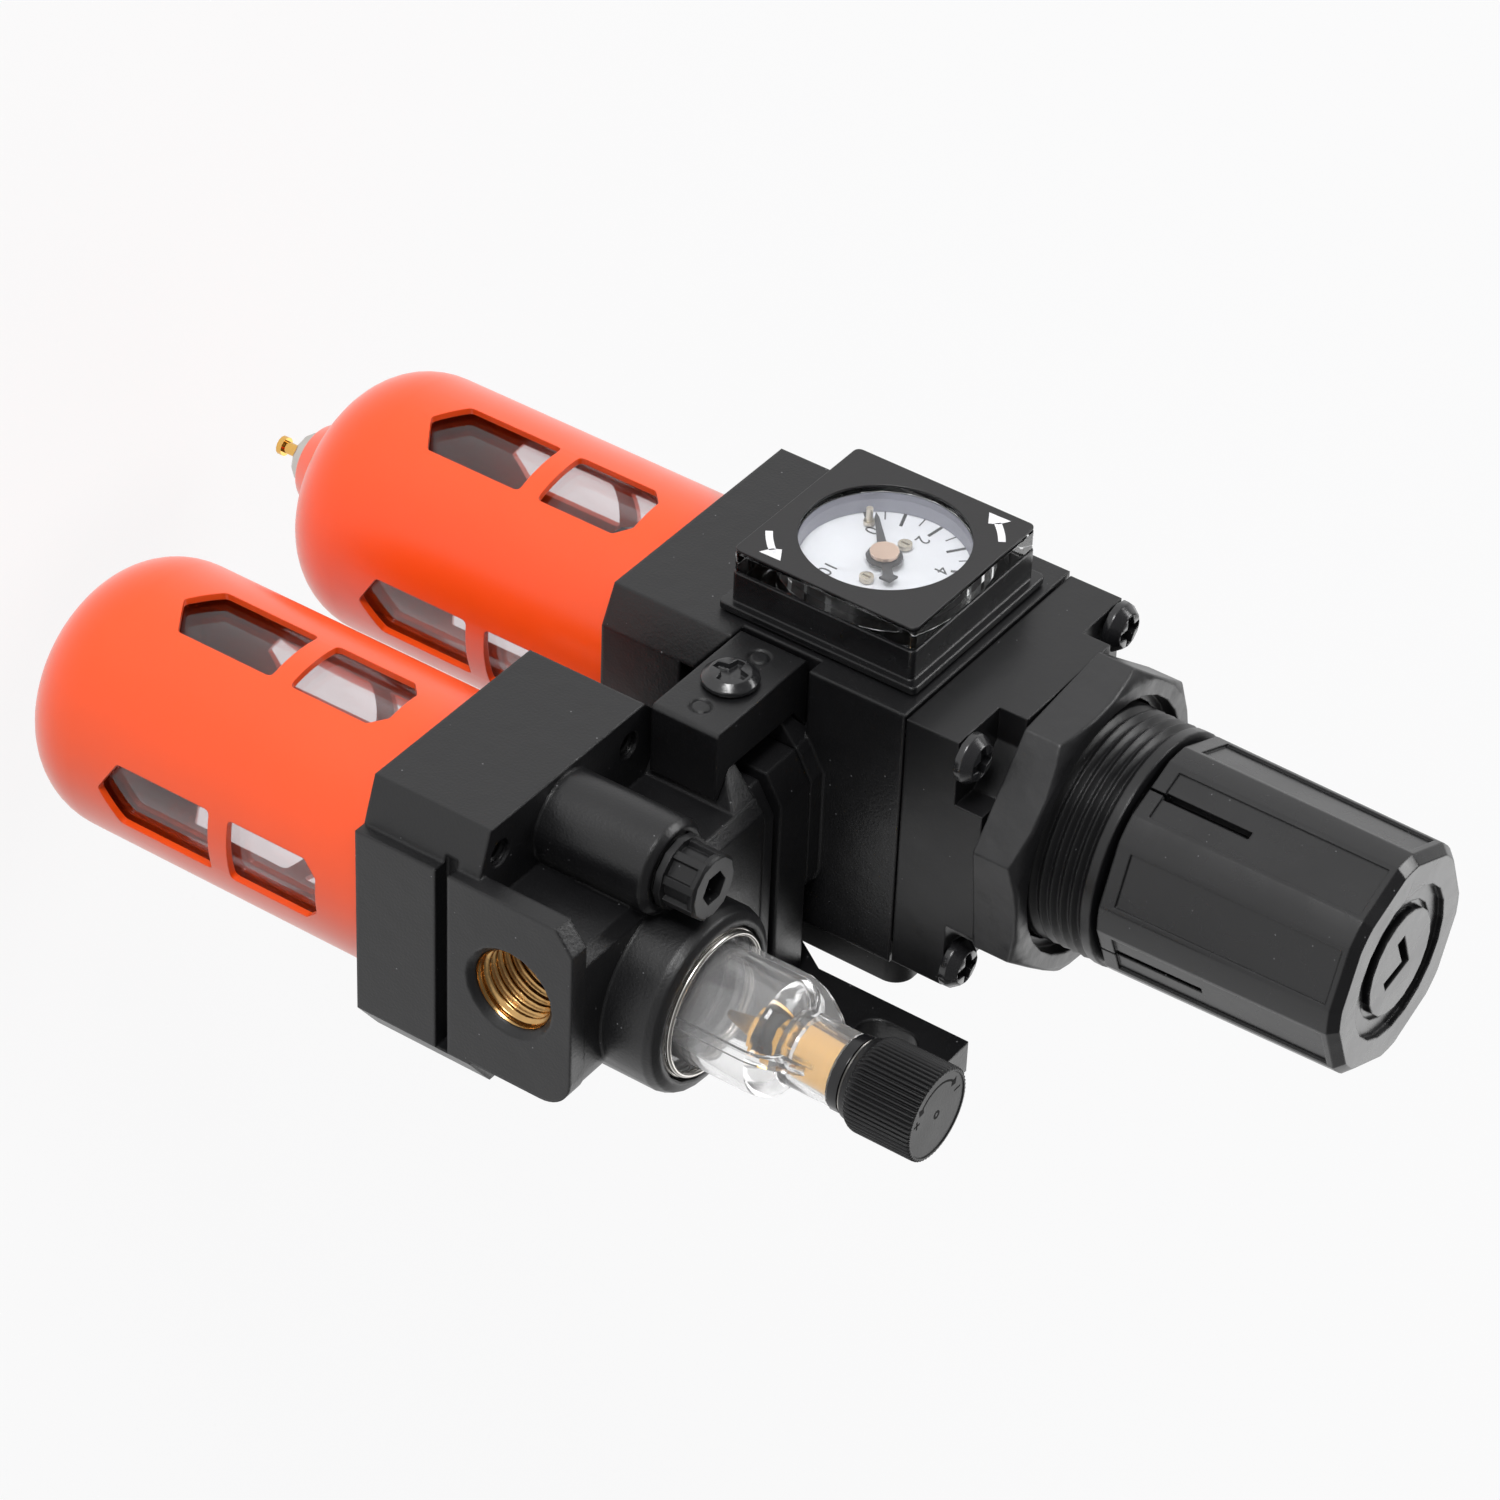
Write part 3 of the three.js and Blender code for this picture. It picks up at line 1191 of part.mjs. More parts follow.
function lubricatorBody() {
  const outline = shapeOf([
    [-innerReach + innerSlope, bodyFront], [outerReach - outerSlope, bodyFront],
    [outerReach - sideLedge, sideLedgeY], [outerReach, sideLedgeY],
    [outerReach, sideSlopeFoot], [outerReach - outerSlope, bodyBack], [-innerReach + innerSlope, bodyBack],
    [-innerReach, sideSlopeFoot], [-innerReach, -sideSlopeFoot],
  ]);
  const domeBoss = turned([[0, plateTop - overcut], [domeBossRadius, plateTop - overcut],
    [domeBossRadius, domeBossTop - domeBossRound], [domeBossRadius - domeBossRound * 0.3, domeBossTop - 0.5],
    [domeBossRadius - domeBossRound, domeBossTop], [0, domeBossTop]], fine, 0, domeAxisY);
  const fillBoss = turned([[0, plateTop - overcut], [fillBossRadius, plateTop - overcut],
    [fillBossRadius, fillBossTop - fillBossRound], [fillBossRadius - fillBossRound, fillBossTop],
    [0, fillBossTop]], medium, 0, fillAxisY);
  const stock = join(prismZ(outline, bodyFloor, plateTop, 1),
    prismX(portBlockSection(lubricatorBlock), -innerReach, outerReach, 5),
    prismX(portBlockSection(portFlange), outerReach - portFlangeThickness, outerReach, 5),
    hookFlange(-1, plateTop - overcut), domeBoss, fillBoss);
  const spareHoles = [-1, 1].map((side) =>
    rod(spareHoleRadius, plateTop - spareHoleDepth, plateTop + overcut, coarse, side * spareHoleX,
      spareHoleY));
  const sealSeat = fillBossTop - plugSealThickness - 0.2;
  return cut(stock, ...sideGrooves(-innerReach, outerReach),
    socketCut(),
    portCut(outerReach, -1),
    portCut(-innerReach, 1),
    rodX(airwayRadius, -innerReach + portDepth - overcut, outerReach - portDepth + overcut, coarse),
    rod(domeBoreRadius, domeBoreFloor, domeBossTop + overcut, medium, 0, domeAxisY),
    rod(dripHoleRadius, 0, domeBoreFloor + overcut, 12, 0, 0),
    rod(riserRadius, socketRoof - overcut, domeBoreFloor + overcut, coarse, 0, riserY),
    rod(fillBore, socketRoof - overcut, fillBossTop + overcut, coarse, 0, fillAxisY),
    rod(plugFlangeRadius, sealSeat, fillBossTop + overcut, coarse, 0, fillAxisY),
    ...spareHoles);
}

piece(lubricator, 'lubricator_body', lubricatorBody(), castBlack);

// Fill plug and its seal
const plugSealMiddle = fillBossTop - plugSealThickness / 2;
const plugFlangeFloor = fillBossTop + gap;
const plugFlangeTop = plugFlangeFloor + plugFlangeThickness;
const plugTop = plugFlangeTop + plugHeadHeight;

function fillPlug() {
  const shank = plugFlangeFloor - plugShankLength;
  const core = turned([[0, shank], [plugShankRadius, shank], [plugShankRadius, plugFlangeFloor],
    [plugFlangeRadius, plugFlangeFloor], [plugFlangeRadius, plugFlangeTop], [plugHeadRadius, plugFlangeTop],
    [plugHeadRadius, plugTop], [0, plugTop]], coarse);
  const ribs = Array.from({ length: plugRibs }, (unused, i) => turnedAbout(
    block(plugHeadRadius - 1, plugHeadRadius + plugRibHeight, -plugRibWidth / 2, plugRibWidth / 2,
      plugFlangeTop - 0.1, plugTop - 0.3), 360 * (i + 0.5) / plugRibs));
  const cap = turned([[0, plugTop - 0.9], [plugHeadRadius + plugRibHeight, plugTop - 0.9],
    [plugHeadRadius + plugRibHeight, plugTop - 0.3], [plugHeadRadius + 0.2, plugTop], [0, plugTop]], coarse);
  return cut(join(core, ...ribs, cap),
    prismZ(shapeOf(hexagon(plugSocketRadius)), plugTop - plugSocketDepth, plugTop + overcut, 1));
}

const plug = piece(lubricator, 'fill_plug', fillPlug(), plasticBlack);
plug.position.set(0, fillAxisY, 0);
piece(lubricator, 'fill_plug_seal', sealRing(plugShankRadius + gap + plugSealThickness / 2,
  plugSealThickness / 2, plugSealMiddle, coarse, 0, fillAxisY), rubberBlack);

// Sight dome with its ring, seal and fins
const domeRingTop = domeBossTop + 0.5;
const domeRingFloor = domeRingTop - domeRingThickness;
const domeFlangeTop = domeRingFloor - gap;
const domeFlangeFloor = domeFlangeTop - domeFlangeThickness;
const domeCeiling = domeShoulder + domeShoulderRound - domeWall;

function sightDome() {
  const shoulder = quarterArc(domeRadius - domeShoulderRound, domeShoulder, domeShoulderRound, 0, 90, 4);
  const cavity = domeRadius - domeWall;
  const body = turned([[cavity, domeBoreFloor + gap], [domeRadius + 0.3, domeBoreFloor + gap],
    [domeRadius + 0.3, domeFlangeFloor], [domeFlangeRadius, domeFlangeFloor],
    [domeFlangeRadius, domeFlangeTop], [domeRadius, domeFlangeTop], ...shoulder,
    [domeNeckRadius, domeShoulder + domeShoulderRound + 0.1],
    [domeNeckRadius, domeNeckTop], [domeNeckBore, domeNeckTop], [domeNeckBore, domeNeckFloor],
    [stemWaist + gap, domeNeckFloor], [stemWaist + gap, domeCeiling], [cavity - 2, domeCeiling],
    [cavity, domeCeiling - 2]], medium);
  const fin = new THREE.Shape();
  const finFloor = domeFlangeTop - 0.2;
  fin.moveTo(domeNeckRadius - 0.5, finFloor);
  fin.lineTo(domeFinRadius, finFloor);
  fin.lineTo(domeFinRadius, domeFinShoulder);
  fin.quadraticCurveTo(domeFinRadius - 0.4, 0.5 * (domeFinShoulder + domeFinTop), domeNeckRadius - 0.4,
    domeFinTop);
  const plate = prismY(fin, -domeFinThickness / 2, domeFinThickness / 2, 6);
  const inside = turned([[0, finFloor - overcut], [cavity, finFloor - overcut],
    [cavity, domeCeiling - 2], [cavity - 2, domeCeiling], [0, domeCeiling]], medium);
  const fins = Array.from({ length: domeFins }, (unused, i) =>
    turnedAbout(cut(plate, inside), domeFinTurn + 360 * i / domeFins));
  return join(body, ...fins);
}

const dome = piece(lubricator, 'sight_dome', sightDome(), clearPlastic);
dome.position.set(0, domeAxisY, 0);
piece(lubricator, 'dome_ring',
  ring(domeFlangeRadius - domeRingWidth, domeFlangeRadius, domeRingFloor, domeRingTop, medium, 0, domeAxisY),
  nickel);
piece(lubricator, 'dome_seal', sealRing(domeFlangeRadius - domeSealThickness, domeSealThickness / 2,
  domeFlangeFloor - gap - domeSealThickness / 2, coarse, 0, domeAxisY), rubberBlack);

// Needle stem, ring and knob
const stemCollarTop = domeCeiling - gap;
const stemCollarFloor = stemCollarTop - stemCollarThickness;
const stemDiscTop = stemCollarFloor - stemDiscDrop;
const stemDiscFloor = stemDiscTop - stemDiscThickness;
const needleKnobFloor = domeNeckTop + gap + needleRingHeight + gap;
const needleKnobTop = needleKnobFloor + needleKnobHeight;
const stemShoulder = domeNeckTop + 0.2;
const stemEnd = needleKnobTop - 3.6;

function needleStem() {
  return turned([[0, stemDiscFloor - 5], [0.5, stemDiscFloor - 5], [1.3, stemDiscFloor - 1.6],
    [1.3, stemDiscFloor], [stemCollarRadius, stemDiscFloor], [stemCollarRadius, stemDiscTop],
    [stemWaist, stemDiscTop], [stemWaist, stemCollarFloor], [stemCollarRadius, stemCollarFloor],
    [stemCollarRadius, stemCollarTop], [stemWaist, stemCollarTop], [stemWaist, domeNeckFloor + gap],
    [stemBodyRadius, domeNeckFloor + gap], [stemBodyRadius, stemShoulder], [stemSpigot, stemShoulder],
    [stemSpigot, stemEnd], [0, stemEnd]], coarse);
}

function needleKnob() {
  const outline = [];
  for (let i = 0; i < needleKnobRibs; i += 1) {
    const step = 360 / needleKnobRibs;
    outline.push(polar(needleKnobRadius, step * i));
    outline.push(polar(needleKnobRadius - needleKnobRibDepth, step * (i + 0.5)));
  }
  const knurled = prismZ(shapeOf(outline), needleKnobFloor + needleKnobSkirt, needleKnobTop - 0.5, 1);
  const smooth = needleKnobRadius - needleKnobRibDepth;
  const core = turned([[0, needleKnobFloor], [smooth - 0.6, needleKnobFloor],
    [smooth, needleKnobFloor + needleKnobSkirt + 0.1], [smooth, needleKnobTop - 0.6],
    [smooth - 0.4, needleKnobTop], [0, needleKnobTop]], medium);
  return cut(knurled.add(core), rod(stemSpigot + gap, needleKnobFloor - overcut, stemEnd + gap, coarse));
}

// Its counterbore reaches down over the stem's shoulder, so that no brass shows beside the neck
function needleRing() {
  const seat = domeNeckTop + gap;
  const top = stemShoulder + needleRingHeight;
  return cut(ring(stemSpigot + gap, needleRingRadius, seat, top, medium),
    rod(stemBodyRadius + gap, seat - overcut, stemShoulder + gap, medium));
}

[['needle_stem', needleStem(), brass], ['needle_knob', needleKnob(), plasticBlack],
  ['needle_ring', needleRing(), rubberBlack]].forEach(([name, shape, material]) => {
  const mesh = piece(lubricator, name, shape, material);
  mesh.position.set(0, domeAxisY, 0);
});

// Oil tube and strainer, hanging from the riser
piece(lubricator, 'oil_tube',
  ring(tubeBore, tubeRadius, tubeEnd, socketRoof + tubeInBody, coarse, 0, riserY), clearPlastic);
piece(lubricator, 'oil_strainer', cut(
  rod(strainerRadius, tubeEnd - strainerHeight + 2, tubeEnd + 2, coarse, 0, riserY),
  rod(tubeRadius + gap, tubeEnd - gap, tubeEnd + 2 + overcut, coarse, 0, riserY)), sinteredBronze);

// Flow damper: a disc with a bleed hole across the airway
piece(lubricator, 'flow_damper', cut(rodX(airwayRadius - gap, -6, -6 + damperThickness, coarse),
  rodX(1, -6 - overcut, -6 + damperThickness + overcut, 12)), rubberBlack);

// Wall bracket, which is also the spacer between the two bodies

function bracketOutline() {
  const arm = bracketArmReach;
  const right = [[bracketCentreHalf, -bracketCentreReach], [bracketCentreHalf, bracketCentreReach],
    [bracketArmHalf, bracketNeckReach], [bracketArmHalf, arm]];
  const left = right.map(([x, z]) => [-x, -z]);
  return shapeOf([[bracketArmHalf, -arm], [bracketArmHalf, -bracketNeckReach], ...right,
    [-bracketArmHalf, arm], [-bracketArmHalf, bracketNeckReach], ...left]);
}

function slotOutline(side) {
  const low = Math.min(side * bracketSlotInner, side * (bracketSlotInner + bracketSlotTravel));
  const shape = new THREE.Shape();
  shape.absarc(0, low, bracketHoleRadius, Math.PI, 2 * Math.PI);
  shape.absarc(0, low + bracketSlotTravel, bracketHoleRadius, 0, Math.PI);
  return shape;
}

// Section of the spacer in Y and Z, back to the plate, all round smaller by the inset
function spacerSection(inset) {
  const front = joinBlock.front + inset;
  const top = joinBlock.top - inset;
  const back = portToWall - bracketThickness + 0.2;
  return shapeOf([[front, -top], [back, -top], [back, top], [front + joinBlock.run, top],
    [front, top - joinBlock.drop]]);
}

function wallBracket() {
  const plateFront = portToWall - bracketThickness;
  const half = spacerLength / 2 - gap;
  const claws = blockBack + gap;
  const plate = prismY(bracketOutline(), plateFront, portToWall, 1);
  const spacer = join(prismX(spacerSection(0), -half, spacerStep, 1),
    prismX(spacerSection(spacerGrooveDepth), spacerStep - 0.1, spacerGrooveEnd + 0.1, 1),
    prismX(spacerSection(spacerRimInset), spacerGrooveEnd, half, 1));
  const claw = block(-clampHalfWidth, clampHalfWidth, claws, plateFront + 0.2, -clawHalfHeight,
    clawHalfHeight);
  const slots = [-1, 1].map((side) =>
    prismY(slotOutline(side), plateFront - overcut, portToWall + overcut, 7));
  const inner = spacerSealRadius - spacerSealTube - gap;
  const outer = spacerSealRadius + spacerSealTube + gap;
  const grooveRing = (x0, x1) =>
    cut(rodX(outer, x0, x1, medium), rodX(inner, x0 - overcut, x1 + overcut, medium));
  return cut(join(plate, spacer, claw), ...slots,
    rodX(spacerBore, -half - overcut, half + overcut, medium),
    grooveRing(half - spacerSealGroove, half + overcut),
    grooveRing(-half - overcut, -half + spacerSealGroove),
    rodY(clampScrewRadius + gap, joinBlock.front - overcut, -spacerBore - clampScrewWall, coarse));
}

// Clamp: a bridge whose two legs wedge over the hook flanges
function joiningClamp() {
  const w = clampHalfWidth;
  const tip = w - clampTipWidth;
  const round = clampEdgeRound;
  const outline = shapeOf([[round - w, bodyFront], [w - round, bodyFront], [w, bodyFront + round],
    [w, clampTail], [tip, clampTail], [clampArch, clampUnderside], [-clampArch, clampUnderside],
    [-tip, clampTail], [-w, clampTail], [-w, bodyFront + round]]);
  const marks = [-1, 1].map((side) => {
    const disc = (radius) => rodY(radius, bodyFront - overcut, bodyFront + clampMarkDepth, medium,
      side * clampMarkX, 0);
    return cut(disc(clampMarkRadius), disc(clampMarkRadius - clampMarkWidth));
  });
  return cut(prismZ(outline, -clampHalfHeight, clampHalfHeight, 1), ...marks,
    rodY(clampScrewRadius + gap, bodyFront - overcut, clampTail + overcut, coarse));
}

piece(assembly, 'wall_bracket', wallBracket(), castBlack);
piece(assembly, 'joining_clamp', joiningClamp(), castBlack);
const clampScrew = piece(assembly, 'clamp_screw',
  panScrew(clampScrewRadius, clampScrewLength, clampScrewHead, clampScrewHeadHeight, 0, 20), blackSteel);
clampScrew.rotation.x = Math.PI / 2;
clampScrew.position.set(0, bodyFront - gap, 0);
const sealCentre = spacerLength / 2 - gap - spacerSealTube;
[['spacer_seal_inlet', -sealCentre], ['spacer_seal_outlet', sealCentre]].forEach(([name, x]) => {
  const seal = piece(assembly, name, sealRing(spacerSealRadius, spacerSealTube, 0, coarse), rubberBlack);
  seal.rotation.y = Math.PI / 2;
  seal.position.set(x, 0, 0);
});

export default unit;
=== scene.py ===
import math

import bmesh
import bpy
from mathutils import Matrix, Vector


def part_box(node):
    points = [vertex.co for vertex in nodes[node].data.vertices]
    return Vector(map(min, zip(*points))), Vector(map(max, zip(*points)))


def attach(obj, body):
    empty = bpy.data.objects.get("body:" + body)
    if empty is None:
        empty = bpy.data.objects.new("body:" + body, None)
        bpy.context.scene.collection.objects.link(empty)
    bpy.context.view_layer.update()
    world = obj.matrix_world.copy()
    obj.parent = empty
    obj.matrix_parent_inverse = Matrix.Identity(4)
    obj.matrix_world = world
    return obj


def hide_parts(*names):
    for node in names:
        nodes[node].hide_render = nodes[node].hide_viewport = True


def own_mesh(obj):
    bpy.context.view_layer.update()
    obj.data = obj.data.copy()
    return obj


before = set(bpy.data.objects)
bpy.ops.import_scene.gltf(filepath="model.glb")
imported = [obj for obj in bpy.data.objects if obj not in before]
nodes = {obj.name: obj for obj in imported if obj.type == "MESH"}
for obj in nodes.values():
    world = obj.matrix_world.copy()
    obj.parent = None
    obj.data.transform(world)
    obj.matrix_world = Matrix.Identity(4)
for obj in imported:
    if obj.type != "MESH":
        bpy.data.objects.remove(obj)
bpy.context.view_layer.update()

MM = 0.001

# Places and sizes, in millimetres in the shared frame
PORT_Y = -30.0
AXIS_X = 26.2
DOME_Y = PORT_Y + 5.5
GAUGE_X = -AXIS_X + 0.25
GAUGE_Z = 4.95
GUARD_R = 18.4
GUARD_WALL = 1.0
GUARD_TOP = -23.7
GUARD_END = -81.5
GUARD_ROUND = 11.0
BOWL_R = 17.0
BOWL_WALL = 2.0
BOWL_END = -80.2
BOWL_RIM = -15.5
BOWL_ROUND = 10.0
PORT_FACE = 45.0
PORT_ROOT = 5.6
PORT_CREST = 4.95
PORT_PITCH = 1.337
PORT_DEPTH = 10.6
PORT_LEAD = 1.0
SPARE_ROOT = 1.82
SPARE_CREST = 1.5
SPARE_PITCH = 0.7
SPARE_LOW = -12.1
SPARE_HIGH = -6.3
SPARE_Y = PORT_Y - 15.4
SPARE_REACH = 13.0
KNOB_LOW = 39.2
KNOB_HIGH = 50.1
KNOB_R = 6.3
KNOB_RIBS = 58
KNOB_DISH = 0.12
KNOB_LIP = (38.93, 39.0, 39.16)
MARK_RING = 4.5
SEAL_RING = 2.8
SEAL_WIRE = 0.35
SEAL_Z = 26.95
LABEL_BACK = -59.0
LABEL_FACE = -59.37
LABEL_FRONT = -59.4
LABEL_HALF = 13.65
LABEL_CORNER = 0.9
LABEL_HOLE = 11.0
DIAL_FACE = -54.5
TICK_MAJOR = 8.45
TICK_MINOR = 9.5
TICK_END = 11.15
NUMBER_RING = 7.25
NUMBER_SIZE = 2.7
SCALE_START = 227.0
SCALE_STEP = 27.2
WALL_LOW = 24.6
WALL_HIGH = 27.6
FLOOR_Z = -103.0

# Relief of the finishes, with depths in metres, and the colour that three of them share
GRAIN_DEPTH = 0.0001
WAVE_DEPTH = 0.0006
WAVE_SCALE = 260.0
DARK_PLASTIC = (0.0062, 0.0062, 0.0068)


# Camera: the photograph's viewpoint

PHOTO_WIDTH = 1500.0
FOCAL_PIXELS = 5629.85
SENSOR = 36.0
CAMERA_PLACE = (0.45335, -0.47856, 0.30744)


def make_camera():
    data = bpy.data.cameras.new("photo_camera")
    camera = bpy.data.objects.new("photo_camera", data)
    bpy.context.scene.collection.objects.link(camera)
    right = Vector((-0.57887984, -0.03352234, 0.8147235))
    down = Vector((0.49512742, 0.77941857, 0.38386915))
    forward = Vector((-0.64787882, 0.62560606, -0.43459187))
    rotation = Matrix((right, -down, -forward)).transposed()
    camera.matrix_world = Matrix.Translation(CAMERA_PLACE) @ rotation.to_4x4()
    data.sensor_width = SENSOR
    data.lens = SENSOR * FOCAL_PIXELS / PHOTO_WIDTH
    data.clip_start = 0.01
    data.clip_end = 50.0
    bpy.context.scene.camera = camera


make_camera()


# Materials

def shader(name):
    material = bpy.data.materials.new(name)
    material.use_nodes = True
    tree = material.node_tree
    return material, tree.nodes, tree.links, tree.nodes["Principled BSDF"]


def add(graph, kind, **values):
    node = graph.new(kind)
    for key, value in values.items():
        if hasattr(node, key):
            setattr(node, key, value)
        else:
            node.inputs[key.replace("_", " ")].default_value = value
    return node


def surface(name, color, rough, metal=0.0, grain=0.0, grain_scale=3000.0, vary=0.12,
            vary_scale=120.0, rough_vary=0.08, specular=0.5, coat=0.0, coat_rough=0.1,
            stretch=(1, 1, 1), specks=0.0, waves=0.0, soften=0.0):
    """A painted, moulded or machined surface with its own mottling, grain and uneven gloss."""
    material, graph, links, bsdf = shader(name)
    bsdf.inputs["Metallic"].default_value = metal
    bsdf.inputs["Specular IOR Level"].default_value = specular
    bsdf.inputs["Coat Weight"].default_value = coat
    bsdf.inputs["Coat Roughness"].default_value = coat_rough
    where = graph.new("ShaderNodeTexCoord")
    mapping = add(graph, "ShaderNodeMapping")
    mapping.inputs["Scale"].default_value = stretch
    links.new(where.outputs["Object"], mapping.inputs["Vector"])
    broad = add(graph, "ShaderNodeTexNoise", Scale=vary_scale, Detail=3.0)
    links.new(mapping.outputs["Vector"], broad.inputs["Vector"])
    mix = add(graph, "ShaderNodeMix", data_type="RGBA")
    dark = tuple(c * (1 - vary) for c in color)
    light = tuple(min(1.0, c * (1 + vary)) for c in color)
    mix.inputs["A"].default_value = (*dark, 1)
    mix.inputs["B"].default_value = (*light, 1)
    links.new(broad.outputs["Fac"], mix.inputs["Factor"])
    shade = mix.outputs["Result"]
    if specks:
        shade = speckled(graph, links, where, shade, specks)
    links.new(shade, bsdf.inputs["Base Color"])
    gloss = add(graph, "ShaderNodeMapRange")
    gloss.inputs["To Min"].default_value = max(0.02, rough - rough_vary)
    gloss.inputs["To Max"].default_value = rough + rough_vary
    links.new(broad.outputs["Fac"], gloss.inputs["Value"])
    links.new(gloss.outputs["Result"], bsdf.inputs["Roughness"])
    if grain:
        relief(graph, links, where, mapping, bsdf, grain, grain_scale, waves, soften)
    return material


def bumps(graph, links, vector, height, distance, scale, detail):
    """A bump made by noise of one scale."""
    noise = add(graph, "ShaderNodeTexNoise", Scale=scale, Detail=detail)
    links.new(vector, noise.inputs["Vector"])
    bump = add(graph, "ShaderNodeBump", Strength=height, Distance=distance)
    links.new(noise.outputs["Fac"], bump.inputs["Height"])
    return bump


def relief(graph, links, where, mapping, bsdf, grain, grain_scale, waves, soften):
    """Edges softened by a radius in millimetres, then broad waves, then fine grain."""
    bump = bumps(graph, links, mapping.outputs["Vector"], grain, GRAIN_DEPTH, grain_scale, 2.0)
    base = None
    if soften:
        base = add(graph, "ShaderNodeBevel", samples=4, Radius=soften * MM)
    if waves:
        ripple = bumps(graph, links, where.outputs["Object"], waves, WAVE_DEPTH, WAVE_SCALE, 1.0)
        if base:
            links.new(base.outputs["Normal"], ripple.inputs["Normal"])
        base = ripple
    if base:
        links.new(base.outputs["Normal"], bump.inputs["Normal"])
    links.new(bump.outputs["Normal"], bsdf.inputs["Normal"])


def speckled(graph, links, where, shade, amount):
    """Sparse pale specks of dust in the paint or the moulding."""
    cells = add(graph, "ShaderNodeTexVoronoi", Scale=420.0, Randomness=1.0)
    links.new(where.outputs["Object"], cells.inputs["Vector"])
    near = add(graph, "ShaderNodeMapRange")
    near.inputs["From Min"].default_value = 0.05
    near.inputs["From Max"].default_value = 0.035
    links.new(cells.outputs["Distance"], near.inputs["Value"])
    share = add(graph, "ShaderNodeMath", operation="MULTIPLY")
    share.inputs[1].default_value = amount
    links.new(near.outputs["Result"], share.inputs[0])
    mix = add(graph, "ShaderNodeMix", data_type="RGBA")
    links.new(share.outputs["Value"], mix.inputs["Factor"])
    links.new(shade, mix.inputs["A"])
    mix.inputs["B"].default_value = (0.32, 0.32, 0.33, 1)
    return mix.outputs["Result"]


def clear(name, color, rough=0.02, ior=1.5, haze=0.0, milk=0.0):
    """Clear moulded plastic: lets light through to what is inside it."""
    material, graph, links, bsdf = shader(name)
    bsdf.inputs["Base Color"].default_value = (*color, 1)
    bsdf.inputs["Transmission Weight"].default_value = 1.0 - milk
    bsdf.inputs["IOR"].default_value = ior
    where = graph.new("ShaderNodeTexCoord")
    noise = add(graph, "ShaderNodeTexNoise", Scale=90.0, Detail=2.0)
    links.new(where.outputs["Object"], noise.inputs["Vector"])
    gloss = add(graph, "ShaderNodeMapRange")
    gloss.inputs["To Min"].default_value = rough
    gloss.inputs["To Max"].default_value = rough + 0.03 + haze
    links.new(noise.outputs["Fac"], gloss.inputs["Value"])
    links.new(gloss.outputs["Result"], bsdf.inputs["Roughness"])
    bump = add(graph, "ShaderNodeBump", Strength=0.05, Distance=0.0004)
    links.new(noise.outputs["Fac"], bump.inputs["Height"])
    links.new(bump.outputs["Normal"], bsdf.inputs["Normal"])
    path = graph.new("ShaderNodeLightPath")
    open_light = add(graph, "ShaderNodeBsdfTransparent")
    open_light.inputs["Color"].default_value = (*[0.9 * c for c in color], 1)
    mix = graph.new("ShaderNodeMixShader")
    out = graph["Material Output"]
    links.new(path.outputs["Is Shadow Ray"], mix.inputs["Fac"])
    links.new(bsdf.outputs["BSDF"], mix.inputs[1])
    links.new(open_light.outputs["BSDF"], mix.inputs[2])
    links.new(mix.outputs["Shader"], out.inputs["Surface"])
    return material


